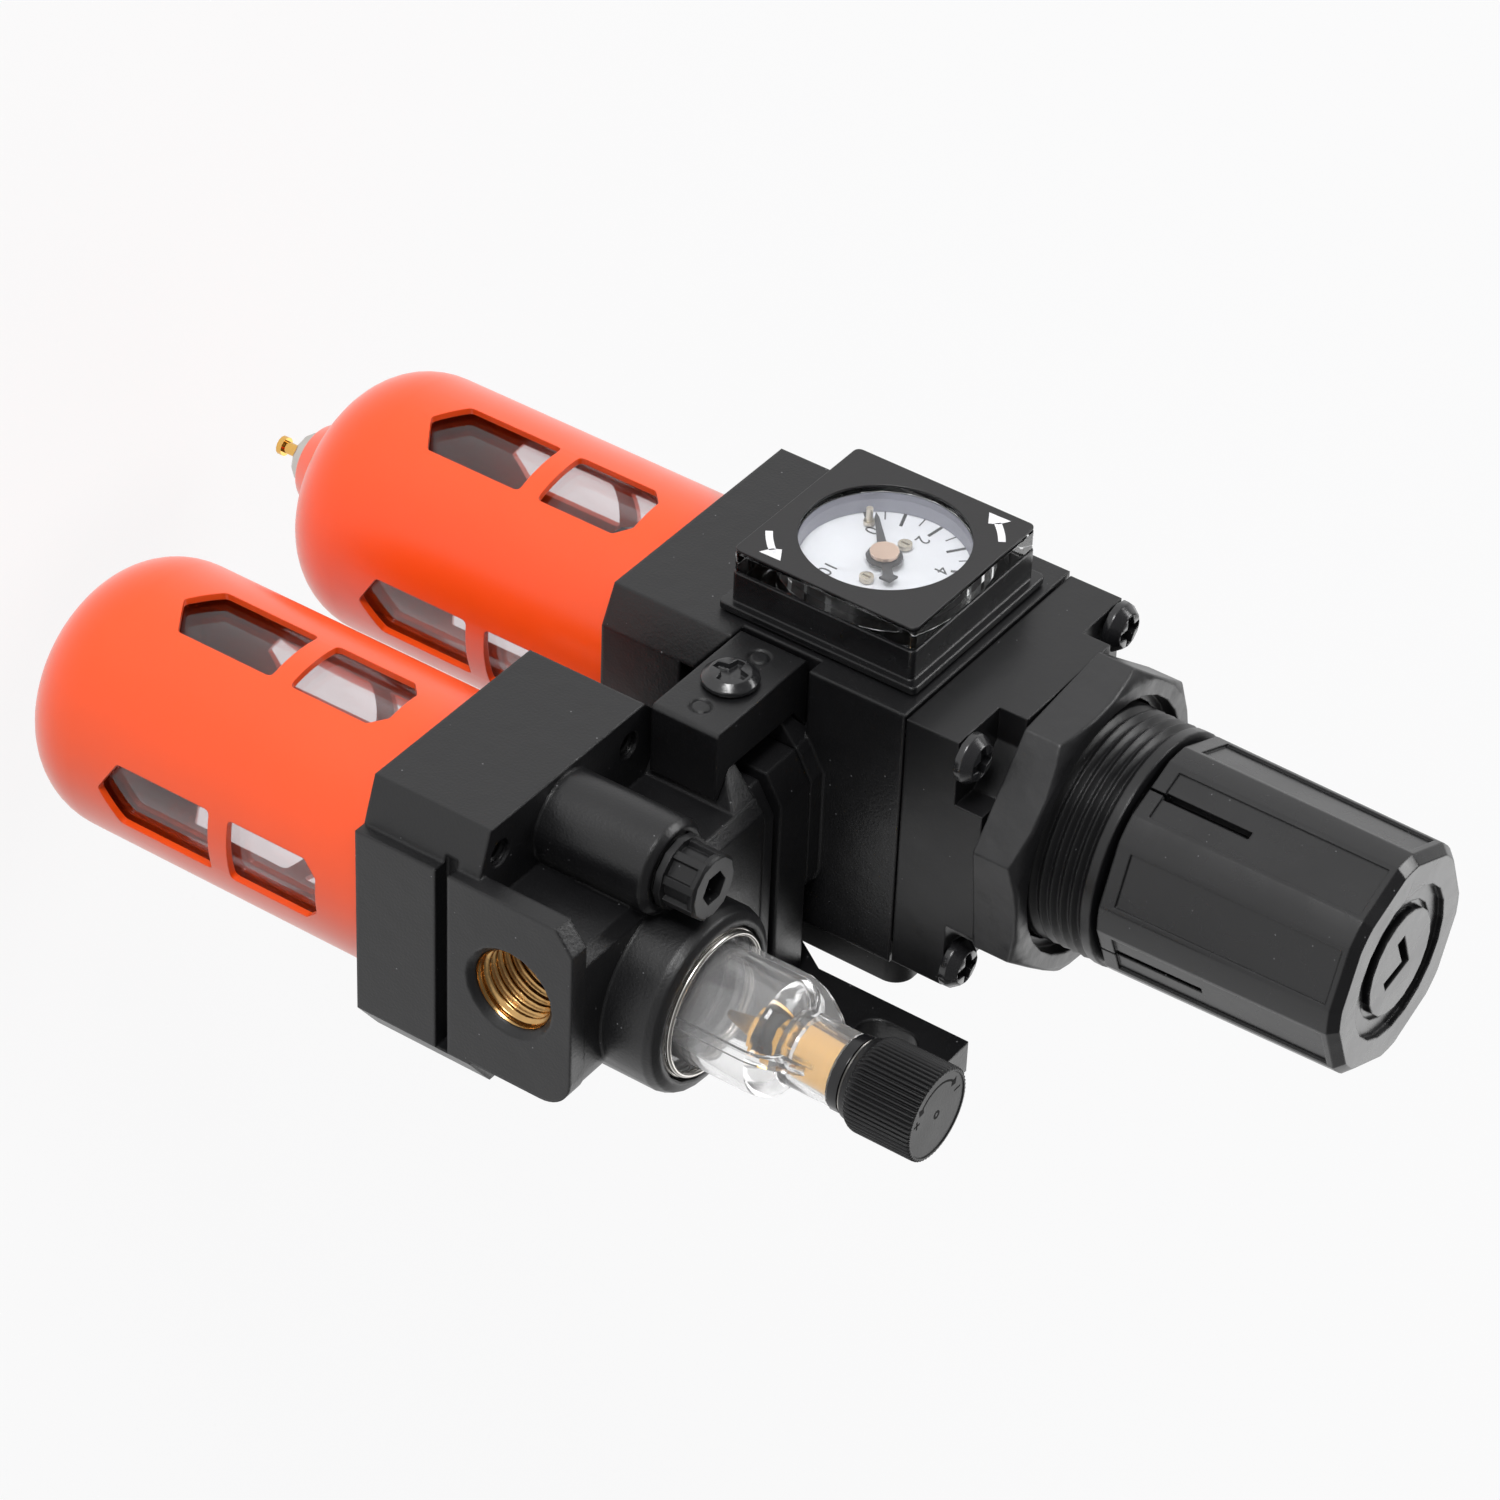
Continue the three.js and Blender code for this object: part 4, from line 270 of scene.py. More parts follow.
MATERIALS = {
    "cast": surface("cast_black", DARK_PLASTIC, 0.37, grain=0.30, grain_scale=2600.0, specular=0.52,
                    vary=0.2, specks=0.5, waves=0.10, soften=0.6),
    "plastic": surface("plastic_black", DARK_PLASTIC, 0.27, grain=0.05, grain_scale=1500.0,
                       specular=0.58, specks=0.3, waves=0.06, soften=0.35),
    "bonnet": surface("bonnet_black", DARK_PLASTIC, 0.34, grain=0.12, grain_scale=1800.0,
                      specular=0.5, specks=0.3, waves=0.06, soften=0.4),
    "nut": surface("nut_black", (0.011, 0.011, 0.0118), 0.38, grain=0.25, grain_scale=1300.0,
                   specular=0.62, vary=0.25, vary_scale=220.0, waves=0.35, soften=0.35),
    "plastic_matt": surface("plastic_matt", (0.008, 0.008, 0.0085), 0.42, grain=0.15,
                            grain_scale=2500.0, specular=0.38, specks=0.3, soften=0.2),
    "label": surface("label_black", (0.014, 0.0135, 0.014), 0.40, grain=0.1, grain_scale=3500.0,
                     specular=0.45),
    "orange": surface("guard_orange", (0.95, 0.082, 0.004), 0.33, grain=0.10, grain_scale=650.0,
                      vary=0.03, specular=0.4, coat=0.6, coat_rough=0.3, soften=0.25),
    "brass": surface("brass_turned", (0.80, 0.47, 0.13), 0.14, 1.0, grain=0.15, grain_scale=900.0,
                     vary=0.15, rough_vary=0.05, stretch=(0.15, 0.15, 4.0)),
    "port": surface("port_thread", (0.60, 0.37, 0.15), 0.24, 1.0, grain=0.2, grain_scale=1400.0,
                    vary=0.35, vary_scale=500.0),
    "nickel": surface("nickel", (0.58, 0.56, 0.53), 0.26, 1.0, grain=0.15, grain_scale=900.0,
                      vary=0.12, stretch=(0.2, 0.2, 3.0)),
    "screw": surface("screw_nickel", (0.62, 0.56, 0.47), 0.28, 1.0, grain=0.15, grain_scale=900.0,
                     vary=0.15),
    "steel": surface("spring_steel", (0.50, 0.50, 0.50), 0.3, 1.0, grain=0.15, grain_scale=2000.0),
    "black_steel": surface("black_steel", (0.014, 0.014, 0.015), 0.22, grain=0.15,
                           grain_scale=1500.0, vary=0.3, specular=0.7, waves=0.1, soften=0.15),
    "rubber": surface("rubber_black", (0.010, 0.010, 0.010), 0.65, grain=0.2, grain_scale=2500.0,
                      specular=0.3),
    "ring": surface("ring_black", (0.006, 0.006, 0.007), 0.2, grain=0.05, grain_scale=1500.0,
                    specular=0.5),
    "element": surface("element_brown", (0.26, 0.15, 0.075), 0.85, grain=0.9, grain_scale=1100.0,
                       vary=0.35, vary_scale=900.0, specular=0.2),
    "dial": surface("dial_white", (0.60, 0.60, 0.63), 0.5, grain=0.03, vary=0.02, specular=0.3),
    "ink": surface("dial_ink", (0.02, 0.02, 0.024), 0.5, vary=0.1),
    "mark": surface("label_mark", (0.80, 0.80, 0.81), 0.3, vary=0.2, vary_scale=900.0),
    "wall": surface("window_wall", (0.20, 0.20, 0.24), 0.4, grain=0.1, grain_scale=900.0,
                    vary=0.15),
    # Near-black for the needle knob's sunk marks: painted shade of their recesses, put on flat
    # sheets
    "mark_shade": surface("sunk_mark_painted_shade", (0.002, 0.002, 0.002), 0.6, vary=0.1, specular=0.1),
    "pointer": surface("pointer_grey", (0.028, 0.028, 0.032), 0.4, vary=0.1),
    "copper": surface("hub_copper", (0.80, 0.58, 0.46), 0.3, 1.0, grain=0.1, grain_scale=1500.0),
    "bowl": clear("bowl_clear", (0.86, 0.81, 0.82)),
    "clear": clear("plastic_clear", (0.985, 0.985, 0.985), ior=1.45, haze=0.05, milk=0.06),
    "lens": clear("lens_clear", (0.96, 0.97, 0.97), ior=1.46),
}

# Rounding and shading, with angles in degrees and the reach in metres

FACETS = 34.0
FLAT_ANGLE = 0.6
ROUND_ANGLE = 40.0
WELD_REACH = 2e-6


def smooth(mesh, degrees):
    mesh.polygons.foreach_set("use_smooth", [True] * len(mesh.polygons))
    mesh.set_sharp_from_angle(angle=math.radians(degrees))


def edge_group(degrees):
    """Marks every edge above an angle as sharp, once the faces are welded."""
    name = "sharp_above_%d" % degrees
    if name in bpy.data.node_groups:
        return bpy.data.node_groups[name]
    group = bpy.data.node_groups.new(name, "GeometryNodeTree")
    group.interface.new_socket("Geometry", in_out="INPUT", socket_type="NodeSocketGeometry")
    group.interface.new_socket("Geometry", in_out="OUTPUT", socket_type="NodeSocketGeometry")
    graph = group.nodes
    source = graph.new("NodeGroupInput")
    out = graph.new("NodeGroupOutput")
    angle = graph.new("GeometryNodeInputMeshEdgeAngle")
    above = graph.new("FunctionNodeCompare")
    above.data_type = "FLOAT"
    above.operation = "GREATER_THAN"
    above.inputs[1].default_value = math.radians(degrees)
    store = graph.new("GeometryNodeStoreNamedAttribute")
    store.data_type = "BOOLEAN"
    store.domain = "EDGE"
    store.inputs["Name"].default_value = "sharp_edge"
    group.links.new(angle.outputs["Unsigned Angle"], above.inputs[0])
    group.links.new(above.outputs["Result"], store.inputs["Value"])
    group.links.new(source.outputs[0], store.inputs["Geometry"])
    group.links.new(store.outputs["Geometry"], out.inputs[0])
    return group


def dress(node, material, bevel=0.0, limit=FACETS, facets=FACETS):
    """Gives a CAD solid its finish, and the small rounding of its real edges."""
    obj = nodes[node]
    obj.data.materials.clear()
    obj.data.materials.append(MATERIALS[material])
    weld = obj.modifiers.new("weld", "WELD")
    weld.merge_threshold = WELD_REACH
    if bevel:
        flat = obj.modifiers.new("flat", "DECIMATE")
        flat.decimate_type = "DISSOLVE"
        flat.angle_limit = math.radians(FLAT_ANGLE)
        edge = obj.modifiers.new("edge", "BEVEL")
        edge.width = bevel * MM
        edge.segments = 2
        edge.limit_method = "ANGLE"
        edge.angle_limit = math.radians(limit)
        edge.use_clamp_overlap = True
        edge.miter_outer = "MITER_ARC"
    smooth(obj.data, 180.0)
    sharp = obj.modifiers.new("sharp", "NODES")
    sharp.node_group = edge_group(facets)
    even = obj.modifiers.new("even", "WEIGHTED_NORMAL")
    even.mode = "FACE_AREA"
    even.keep_sharp = True
    return obj


def link(obj):
    bpy.context.scene.collection.objects.link(obj)
    return obj


def finish_mesh(name, bm, material, facets=FACETS):
    bmesh.ops.recalc_face_normals(bm, faces=bm.faces)
    mesh = bpy.data.meshes.new(name)
    bm.to_mesh(mesh)
    bm.free()
    mesh.materials.append(MATERIALS[material])
    smooth(mesh, facets)
    return link(bpy.data.objects.new(name, mesh))


def ring(bm, radius, height, count):
    """A closed loop of vertices about an upright axis, in millimetres."""
    turns = [2 * math.pi * i / count for i in range(count)]
    return [bm.verts.new((radius * MM * math.cos(a), radius * MM * math.sin(a), height * MM))
            for a in turns]


def bridge(bm, lower, upper):
    """Joins two closed loops of the same number of vertices with quads."""
    count = len(lower)
    for i in range(count):
        j = (i + 1) % count
        bm.faces.new((lower[i], lower[j], upper[j], upper[i]))


def lathe(name, profile, material, segments=96, x=0.0, y=0.0):
    """Turns a closed profile of (radius, height) in millimetres about an upright axis."""
    bm = bmesh.new()
    rings = [ring(bm, radius, height, segments) for radius, height in profile]
    for low, high in zip(rings, rings[1:] + rings[:1]):
        bridge(bm, low, high)
    bmesh.ops.translate(bm, vec=Vector((x * MM, y * MM, 0)), verts=bm.verts)
    return finish_mesh(name, bm, material)


def polar(across, along, radius, degrees):
    """The point at an angle on a circle about (across, along)."""
    a = math.radians(degrees)
    return (across + radius * math.cos(a), along + radius * math.sin(a))


def arc(across, along, radius, start, end, steps):
    """Points along an arc, in degrees."""
    return [polar(across, along, radius, start + (end - start) * i / steps)
            for i in range(steps + 1)]


def tube_profile(middle, radius, z):
    """The round section of a ring, for lathe."""
    return [polar(middle, z, radius, degrees) for degrees in range(0, 360, 30)]


def prism(name, outline, low, high, material, plane="z"):
    """Extrudes a flat outline in millimetres: plane z lies in X and Y, plane y lies in X and Z."""
    bm = bmesh.new()

    def place(u, v, w):
        return (u * MM, v * MM, w * MM) if plane == "z" else (u * MM, w * MM, v * MM)

    bottom = [bm.verts.new(place(u, v, low)) for u, v in outline]
    top = [bm.verts.new(place(u, v, high)) for u, v in outline]
    bm.faces.new(bottom)
    bm.faces.new(top)
    bridge(bm, bottom, top)
    return finish_mesh(name, bm, material)


def cut_out(obj, tool):
    """Cuts the tool out of the object at once, and removes the tool."""
    modifier = obj.modifiers.new("cut", "BOOLEAN")
    modifier.operation = "DIFFERENCE"
    modifier.object = tool
    modifier.solver = "EXACT"
    bpy.context.view_layer.update()
    deps = bpy.context.evaluated_depsgraph_get()
    mesh = bpy.data.meshes.new_from_object(obj.evaluated_get(deps))
    obj.modifiers.clear()
    old = obj.data
    obj.data = mesh
    bpy.data.meshes.remove(old)
    bpy.data.objects.remove(tool)


def rounded(obj, width, segments):
    """Rounds the edges of a piece made here."""
    edge = obj.modifiers.new("edge", "BEVEL")
    edge.width = width * MM
    edge.segments = segments
    edge.limit_method = "ANGLE"
    edge.angle_limit = math.radians(ROUND_ANGLE)
    edge.use_clamp_overlap = True
    smooth(obj.data, FACETS)
    even = obj.modifiers.new("even", "WEIGHTED_NORMAL")
    even.mode = "FACE_AREA"
    even.keep_sharp = True


def turn_z(obj, degrees, x, y):
    centre = Vector((x * MM, y * MM, 0))
    turn = Matrix.Rotation(math.radians(degrees), 4, "Z")
    obj.data.transform(Matrix.Translation(centre) @ turn @ Matrix.Translation(-centre))


def join_into(target, others):
    """Merges meshes into one object."""
    bm = bmesh.new()
    bm.from_mesh(target.data)
    for other in others:
        bm.from_mesh(other.data)
    bm.to_mesh(target.data)
    bm.free()
    for other in others:
        bpy.data.objects.remove(other)
    return target


# Orange guards

WINDOW_HALF = 4.8
WINDOW_POINT = -65.2
WINDOW_LOW_SHOULDER = -62.2
WINDOW_BAR_LOW = -47.3
WINDOW_BAR_HIGH = -44.3
WINDOW_HIGH_SHOULDER = -32.2
WINDOW_TOP = -30.2


def rounded_outline(points, radius, steps=4):
    """Rounds each corner of an outline."""
    out = []
    count = len(points)
    for i in range(count):
        before = Vector(points[i - 1])
        here = Vector(points[i])
        after = Vector(points[(i + 1) % count])
        a = (before - here).normalized()
        b = (after - here).normalized()
        half = math.acos(max(-1, min(1, a.dot(b)))) / 2
        reach = min(radius / math.tan(half), (before - here).length / 2.1,
                    (after - here).length / 2.1)
        start = here + a * reach
        end = here + b * reach
        for k in range(steps + 1):
            t = k / steps
            point = start * (1 - t) ** 2 + here * 2 * t * (1 - t) + end * t * t
            out.append((point.x, point.y))
    return out


def guard(node, body, x, turn, boss):
    """A bowl's guard with four columns of two windows, and a boss at its end."""
    wide, tip, length, hole = boss
    centre = GUARD_R - GUARD_ROUND
    middle = GUARD_END + GUARD_ROUND
    outside = arc(centre, middle, GUARD_ROUND, -90, 0, 14)
    inside = arc(centre, middle, GUARD_ROUND - GUARD_WALL, 0, -90, 12)
    profile = [(hole, GUARD_END - length), (tip - 0.3, GUARD_END - length),
               (tip, GUARD_END - length + 0.3), (wide - 0.9, GUARD_END - 1.7),
               (wide - 0.3, GUARD_END - 0.7), (wide + 0.6, GUARD_END)]
    profile += outside
    profile += [(GUARD_R, -70), (GUARD_R, -60), (GUARD_R, -50), (GUARD_R, -40), (GUARD_R, -30),
                (GUARD_R, GUARD_TOP), (GUARD_R - GUARD_WALL, GUARD_TOP)]
    profile += [(GUARD_R - GUARD_WALL, -40), (GUARD_R - GUARD_WALL, -60)]
    profile += inside
    profile += [(hole, GUARD_END + GUARD_WALL)]
    shell = lathe(node + "_shell", profile, "orange", 96, x, PORT_Y)
    big = [(0, WINDOW_POINT), (WINDOW_HALF, WINDOW_LOW_SHOULDER), (WINDOW_HALF, WINDOW_BAR_LOW),
           (-WINDOW_HALF, WINDOW_BAR_LOW), (-WINDOW_HALF, WINDOW_LOW_SHOULDER)]
    small = [(-WINDOW_HALF, WINDOW_BAR_HIGH), (WINDOW_HALF, WINDOW_BAR_HIGH),
             (WINDOW_HALF, WINDOW_HIGH_SHOULDER), (WINDOW_HALF - 2, WINDOW_TOP),
             (2 - WINDOW_HALF, WINDOW_TOP), (-WINDOW_HALF, WINDOW_HIGH_SHOULDER)]
    tools = []
    for column in range(4):
        for which, outline in (("big", big), ("small", small)):
            outline = rounded_outline([(u + x, v) for u, v in outline], 0.8)
            tool = prism(f"cut_{which}_{column}", outline, PORT_Y - GUARD_R - 1,
                         PORT_Y - GUARD_R + 3, "orange", "y")
            turn_z(tool, turn + 90 * column, x, PORT_Y)
            tools.append(tool)
    tool = join_into(tools[0], tools[1:])
    cut_out(shell, tool)
    rounded(shell, 0.22, 3)
    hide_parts(node)
    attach(shell, body)
    return shell


guard("filter_bowl_guard", "filter_bowl_unit", -AXIS_X, 8.0, (8.4, 5.4, 5.0, 3.8))
guard("oil_bowl_guard", "oil_bowl_unit", AXIS_X, 2.0, (6.4, 4.4, 2.8, 2.4))


# Clear bowls

def bowl(node, body, x, bore):
    """A bowl with a bore at its end, in millimetres."""
    inner = BOWL_R - BOWL_WALL
    centre = BOWL_R - BOWL_ROUND
    outside = arc(centre, BOWL_END + BOWL_ROUND, BOWL_ROUND, -90, 0, 12)
    inside = arc(centre, BOWL_END + BOWL_ROUND, BOWL_ROUND - BOWL_WALL, 0, -90, 12)
    profile = [(bore, BOWL_END)] + outside
    profile += [(BOWL_R, -60), (BOWL_R, -40), (BOWL_R, BOWL_RIM - 0.3), (BOWL_R - 0.3, BOWL_RIM),
                (inner + 0.3, BOWL_RIM), (inner, BOWL_RIM - 0.3), (inner, -40), (inner, -60)]
    profile += inside + [(bore, BOWL_END + BOWL_WALL)]
    shell = lathe(node + "_clear", profile, "bowl", 96, x, PORT_Y)
    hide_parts(node)
    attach(shell, body)


bowl("filter_bowl", "filter_bowl_unit", -AXIS_X, 2.7)
bowl("oil_bowl", "oil_bowl_unit", AXIS_X, 1.8)


# Finishes and edge rounding of the other solids

FINISH = [
    ("wall_bracket", "cast", 0.3), ("joining_clamp", "cast", 0.35),
    ("clamp_screw", "black_steel", 0.14), ("spacer_seal_inlet", "rubber", 0),
    ("spacer_seal_outlet", "rubber", 0), ("bonnet", "bonnet", 0.3),
    ("bonnet_screw_1", "black_steel", 0.14), ("bonnet_screw_2", "black_steel", 0.14),
    ("bonnet_screw_3", "black_steel", 0.14), ("bonnet_screw_4", "black_steel", 0.14),
    ("panel_nut", "nut", 0.25), ("adjusting_screw", "steel", 0),
    ("adjusting_nut", "brass", 0), ("diaphragm", "rubber", 0),
    ("diaphragm_plate", "brass", 0), ("valve_poppet", "brass", 0),
    ("element_stud", "brass", 0), ("air_deflector", "plastic", 0), ("filter_element", "element", 0),
    ("element_retainer", "plastic", 0), ("filter_bowl_seal", "rubber", 0),
    ("drain_nipple", "nickel", 0.1),
    ("drain_pin", "brass", 0), ("oil_bowl_seal", "rubber", 0), ("oil_bowl_plug", "nickel", 0),
    ("gauge_case", "plastic", 0.15), ("gauge_lens", "lens", 0.18),
    ("gauge_dial", "dial", 0), ("gauge_pointer", "pointer", 0), ("gauge_hub", "copper", 0),
    ("gauge_stop_pin", "screw", 0), ("dial_screw_1", "screw", 0.06),
    ("dial_screw_2", "screw", 0.06),
    ("bourdon_tube", "brass", 0), ("rear_port_cover", "plastic_matt", 0.4),
    ("fill_plug", "plastic_matt", 0.12), ("fill_plug_seal", "rubber", 0),
    ("sight_dome", "clear", 0), ("dome_seal", "rubber", 0), ("needle_stem", "brass", 0.08),
    ("needle_ring", "ring", 0.15), ("oil_tube", "clear", 0),
    ("oil_strainer", "element", 0), ("flow_damper", "rubber", 0),
]
for node_name, finish_name, width in FINISH:
    dress(node_name, finish_name, width)
dress("regulator_body", "cast", 0.5, 20.0, 20.0)
dress("lubricator_body", "cast", 0.4, 20.0, 20.0)
dress("pressure_knob", "plastic", 0.3, 14.0, 12.0)


# Pieces with finer detail than the solids

def belongs(obj, body, slot, *replaced):
    """Attaches a piece to its body and hides the nodes it stands for. The slot is not used."""
    if replaced:
        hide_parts(*replaced)
    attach(obj, body)
    return obj


def thread_liner(root, crest, pitch, low, high, steps=96, rows=12):
    """The inside of a threaded hole: one helical groove between a root and a crest radius."""
    bm = bmesh.new()
    count = int((high - low) / pitch * rows)
    grid = []
    for k in range(count + 1):
        h = low + (high - low) * k / count
        swell = min(1.0, (high - h) / pitch, (h - low) / pitch)
        loop = []
        for i in range(steps):
            phase = (h / pitch - i / steps) % 1.0
            ridge = 0.5 - 0.5 * math.cos(2 * math.pi * phase)
            r = (root - (root - crest) * max(0.0, swell) * ridge ** 1.4) * MM
            a = 2 * math.pi * i / steps
            loop.append(bm.verts.new((r * math.cos(a), r * math.sin(a), h * MM)))
        grid.append(loop)
    for lower, upper in zip(grid, grid[1:]):
        bridge(bm, lower, upper)
    return bm


def port_thread(name, side, body):
    """The thread in the outlet (side 1) or the inlet (side -1)."""
    bm = thread_liner(PORT_ROOT, PORT_CREST, PORT_PITCH, PORT_FACE - PORT_DEPTH,
                      PORT_FACE - PORT_LEAD)
    turn = Matrix(((0, 0, side), (0, 1, 0), (-side, 0, 0))).to_4x4()
    bmesh.ops.transform(bm, matrix=turn, verts=bm.verts)
    bmesh.ops.translate(bm, vec=Vector((0, PORT_Y * MM, 0)), verts=bm.verts)
    return belongs(finish_mesh(name, bm, "port", 70.0), body, "brass")


port_thread("outlet_thread", 1, "unit")
port_thread("inlet_thread", -1, "unit")


def spare_thread(name, x):
    """The thread in one of the two spare holes in the lubricator's top plate."""
    bm = thread_liner(SPARE_ROOT, SPARE_CREST, SPARE_PITCH, SPARE_LOW, SPARE_HIGH, 40, 10)
    bmesh.ops.translate(bm, vec=Vector((x * MM, SPARE_Y * MM, 0)), verts=bm.verts)
    return belongs(finish_mesh(name, bm, "cast", 70.0), "unit", "cast_black")


spare_thread("spare_thread_left", AXIS_X - SPARE_REACH)
spare_thread("spare_thread_right", AXIS_X + SPARE_REACH)


# Needle knob: fine ribs, and a turning arrow in its end, with painted shade for its sunk marks

def ribbed(low, high, crest, root, ribs, taper):
    """A ribbed drum whose ribs run out at its lower end."""
    bm = bmesh.new()
    around = ribs * 6
    levels = [low, low + 0.25 * taper, low + 0.6 * taper, low + taper, high - 0.35, high - 0.1,
              high]
    depth = [0.0, 0.35, 0.8, 1.0, 1.0, 0.9, 0.0]
    base = [crest - 0.75, crest - 0.42, crest - 0.14, crest, crest, crest - 0.05, crest - 0.3]
    shape = (0.0, 0.35, 1.0, 1.0, 0.35, 0.0)
    rings = []
    for z, share, top in zip(levels, depth, base):
        loop = []
        for i in range(around):
            sink = (crest - root) * share * shape[i % 6]
            a = 2 * math.pi * i / around
            r = (top - sink) * MM
            loop.append(bm.verts.new((r * math.cos(a), r * math.sin(a), z * MM)))
        rings.append(loop)
    for lower, upper in zip(rings, rings[1:]):
        bridge(bm, lower, upper)
    return bm, rings


def needle_knob():
    rim_low = KNOB_LOW + 0.9
    bm, rings = ribbed(rim_low, KNOB_HIGH, KNOB_R, KNOB_R - 0.42, KNOB_RIBS, 1.3)
    around = len(rings[0])

    def circle(radius, z):
        return ring(bm, radius, z, around)

    skirt = [circle(5.1, KNOB_LOW), circle(5.35, KNOB_LOW + 0.15)]
    bridge(bm, skirt[0], skirt[1])
    bridge(bm, skirt[1], rings[0])
    floor = KNOB_HIGH - KNOB_DISH
    top = [circle(KNOB_R - 0.55, KNOB_HIGH), circle(KNOB_R - 0.62, floor), circle(0.5, floor)]
    bridge(bm, rings[-1], top[0])
    bridge(bm, top[0], top[1])
    bridge(bm, top[1], top[2])
    bm.faces.new(top[2])
    bm.faces.new(list(reversed(skirt[0])))
    bmesh.ops.translate(bm, vec=Vector((AXIS_X * MM, DOME_Y * MM, 0)), verts=bm.verts)
    knob = finish_mesh("needle_knob_ribbed", bm, "plastic_matt", 28.0)
    return belongs(knob, "needle", "plastic_black", "needle_knob")


def band(across, along, inner, outer, start, end, steps=24):
    """Outline of an arc band, in degrees."""
    near = arc(across, along, inner, start, end, steps)
    return arc(across, along, outer, start, end, steps) + near[::-1]


def knob_marks():
    """A curved arrow with two heads, a plus, a minus and a centre mark at the knob's end, as thin
    near-black sheets: painted shade standing in for sunk marks.
    """
    low, high = KNOB_HIGH - 0.15, KNOB_HIGH - 0.105
    x, y = AXIS_X, DOME_Y
    pieces = []

    def add_mark(outline):
        pieces.append(prism("knob_mark_%d" % len(pieces), outline, low, high, "mark_shade"))

    def add_head(corners):
        add_mark([polar(x, y, radius, degrees) for radius, degrees in corners])

    def add_bar(cx, cy, wide, tall):
        add_mark([(cx - wide, cy - tall), (cx + wide, cy - tall),
                  (cx + wide, cy + tall), (cx - wide, cy + tall)])

    add_mark(band(x, y, 4.35, 4.65, 225, 315))
    add_head([(5.2, 220), (MARK_RING, 211), (3.8, 220), (4.4, 226)])
    add_head([(3.8, 320), (MARK_RING, 329), (5.2, 320), (4.4, 314)])
    add_bar(*polar(x, y, MARK_RING, 196), 0.65, 0.13)
    add_bar(*polar(x, y, MARK_RING, 344), 0.6, 0.13)
    add_bar(*polar(x, y, MARK_RING, 344), 0.13, 0.6)
    add_mark(band(x, y, 0.28, 0.62, 0, 359, 32))
    return belongs(join_into(pieces[0], pieces[1:]), "needle", "plastic_black")


needle_knob()
knob_marks()


def stem_seal():
    """The seal ring on the needle's stem, seen through the dome."""
    profile = tube_profile(SEAL_RING, SEAL_WIRE, SEAL_Z)
    seal = lathe("stem_seal", profile, "rubber", 64, AXIS_X, DOME_Y)
    return belongs(seal, "needle", "rubber_black")


stem_seal()


def dome_wires():
    """The dome's double-wire snap ring, in the place of its plain solid."""
    low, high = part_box("dome_ring")
    outer = (high[0] - low[0]) / 2 / MM
    middle = (low[0] + high[0]) / 2 / MM
    floor, top = low[2] / MM, high[2] / MM
    tube = (top - floor) / 4
    wires = []
    for index in range(2):
        z = floor + tube + 2 * tube * index
        radius = outer - tube - 0.35 * index
        profile = tube_profile(radius, tube, z)
        wires.append(lathe("dome_wire_%d" % index, profile, "nickel", 96, middle, DOME_Y))
    return belongs(join_into(wires[0], wires[1:]), "unit", "nickel", "dome_ring")


dome_wires()


def knob_lip():
    """The nickel edge under the needle knob."""
    low, middle, high = KNOB_LIP
    profile = [(2.7, low), (4.95, low), (5.05, middle), (4.95, high), (2.7, high)]
    return belongs(lathe("knob_lip", profile, "nickel", 72, AXIS_X, DOME_Y), "needle", "nickel")


knob_lip()


# Springs: each is squeezed between a fixed seat and the piece that moves against it

def coil(node, middle, wire, turns):
    """A round-wire spring of a middle radius, wire radius and number of turns."""
    low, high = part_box(node)
    x, y = -AXIS_X * MM, PORT_Y * MM
    floor, top = low[2] + wire * MM, high[2] - wire * MM
    steps, sides = 28, 10
    rows = int(turns * steps)
    bm = bmesh.new()
    tube = []
    for i in range(rows + 1):
        turn = 2 * math.pi * i / steps
        loop = []
        for j in range(sides):
            around = 2 * math.pi * j / sides
            r = (middle + wire * math.cos(around)) * MM
            z = floor + (top - floor) * i / rows + wire * MM * math.sin(around)
            loop.append(bm.verts.new((x + r * math.cos(turn), y + r * math.sin(turn), z)))
        tube.append(loop)
    for lower, upper in zip(tube, tube[1:]):
        bridge(bm, lower, upper)
    bm.faces.new(tube[0])
    bm.faces.new(tube[-1])
    piece = belongs(finish_mesh(node + "_coil", bm, "steel", 50.0), "unit", "spring_steel", node)
    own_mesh(piece)


coil("pressure_spring", 7.6, 1.2, 7)
coil("valve_spring", 2.9, 0.4, 3)


# Gauge: printed label with turning arrows, scale and numbers

def square_outline(half, radius, across, along, steps=6):
    """A square with rounded corners."""
    points = []
    for quarter, (right, up) in enumerate(((1, 1), (-1, 1), (-1, -1), (1, -1))):
        points += arc(across + right * (half - radius), along + up * (half - radius), radius,
                      90 * quarter, 90 * quarter + 90, steps)
    return points


def gauge_label():
    sheet = prism("label_sheet", square_outline(LABEL_HALF, LABEL_CORNER, GAUGE_X, GAUGE_Z),
                  LABEL_FACE, LABEL_BACK, "label", "y")
    hole = [polar(GAUGE_X, GAUGE_Z, LABEL_HOLE, 360 * i / 128) for i in range(128)]
    cut_out(sheet, prism("label_hole", hole, LABEL_FACE - 1, LABEL_BACK + 1, "label", "y"))
    rounded(sheet, 0.1, 2)
    return belongs(sheet, "unit", "plastic_black", "gauge_label")


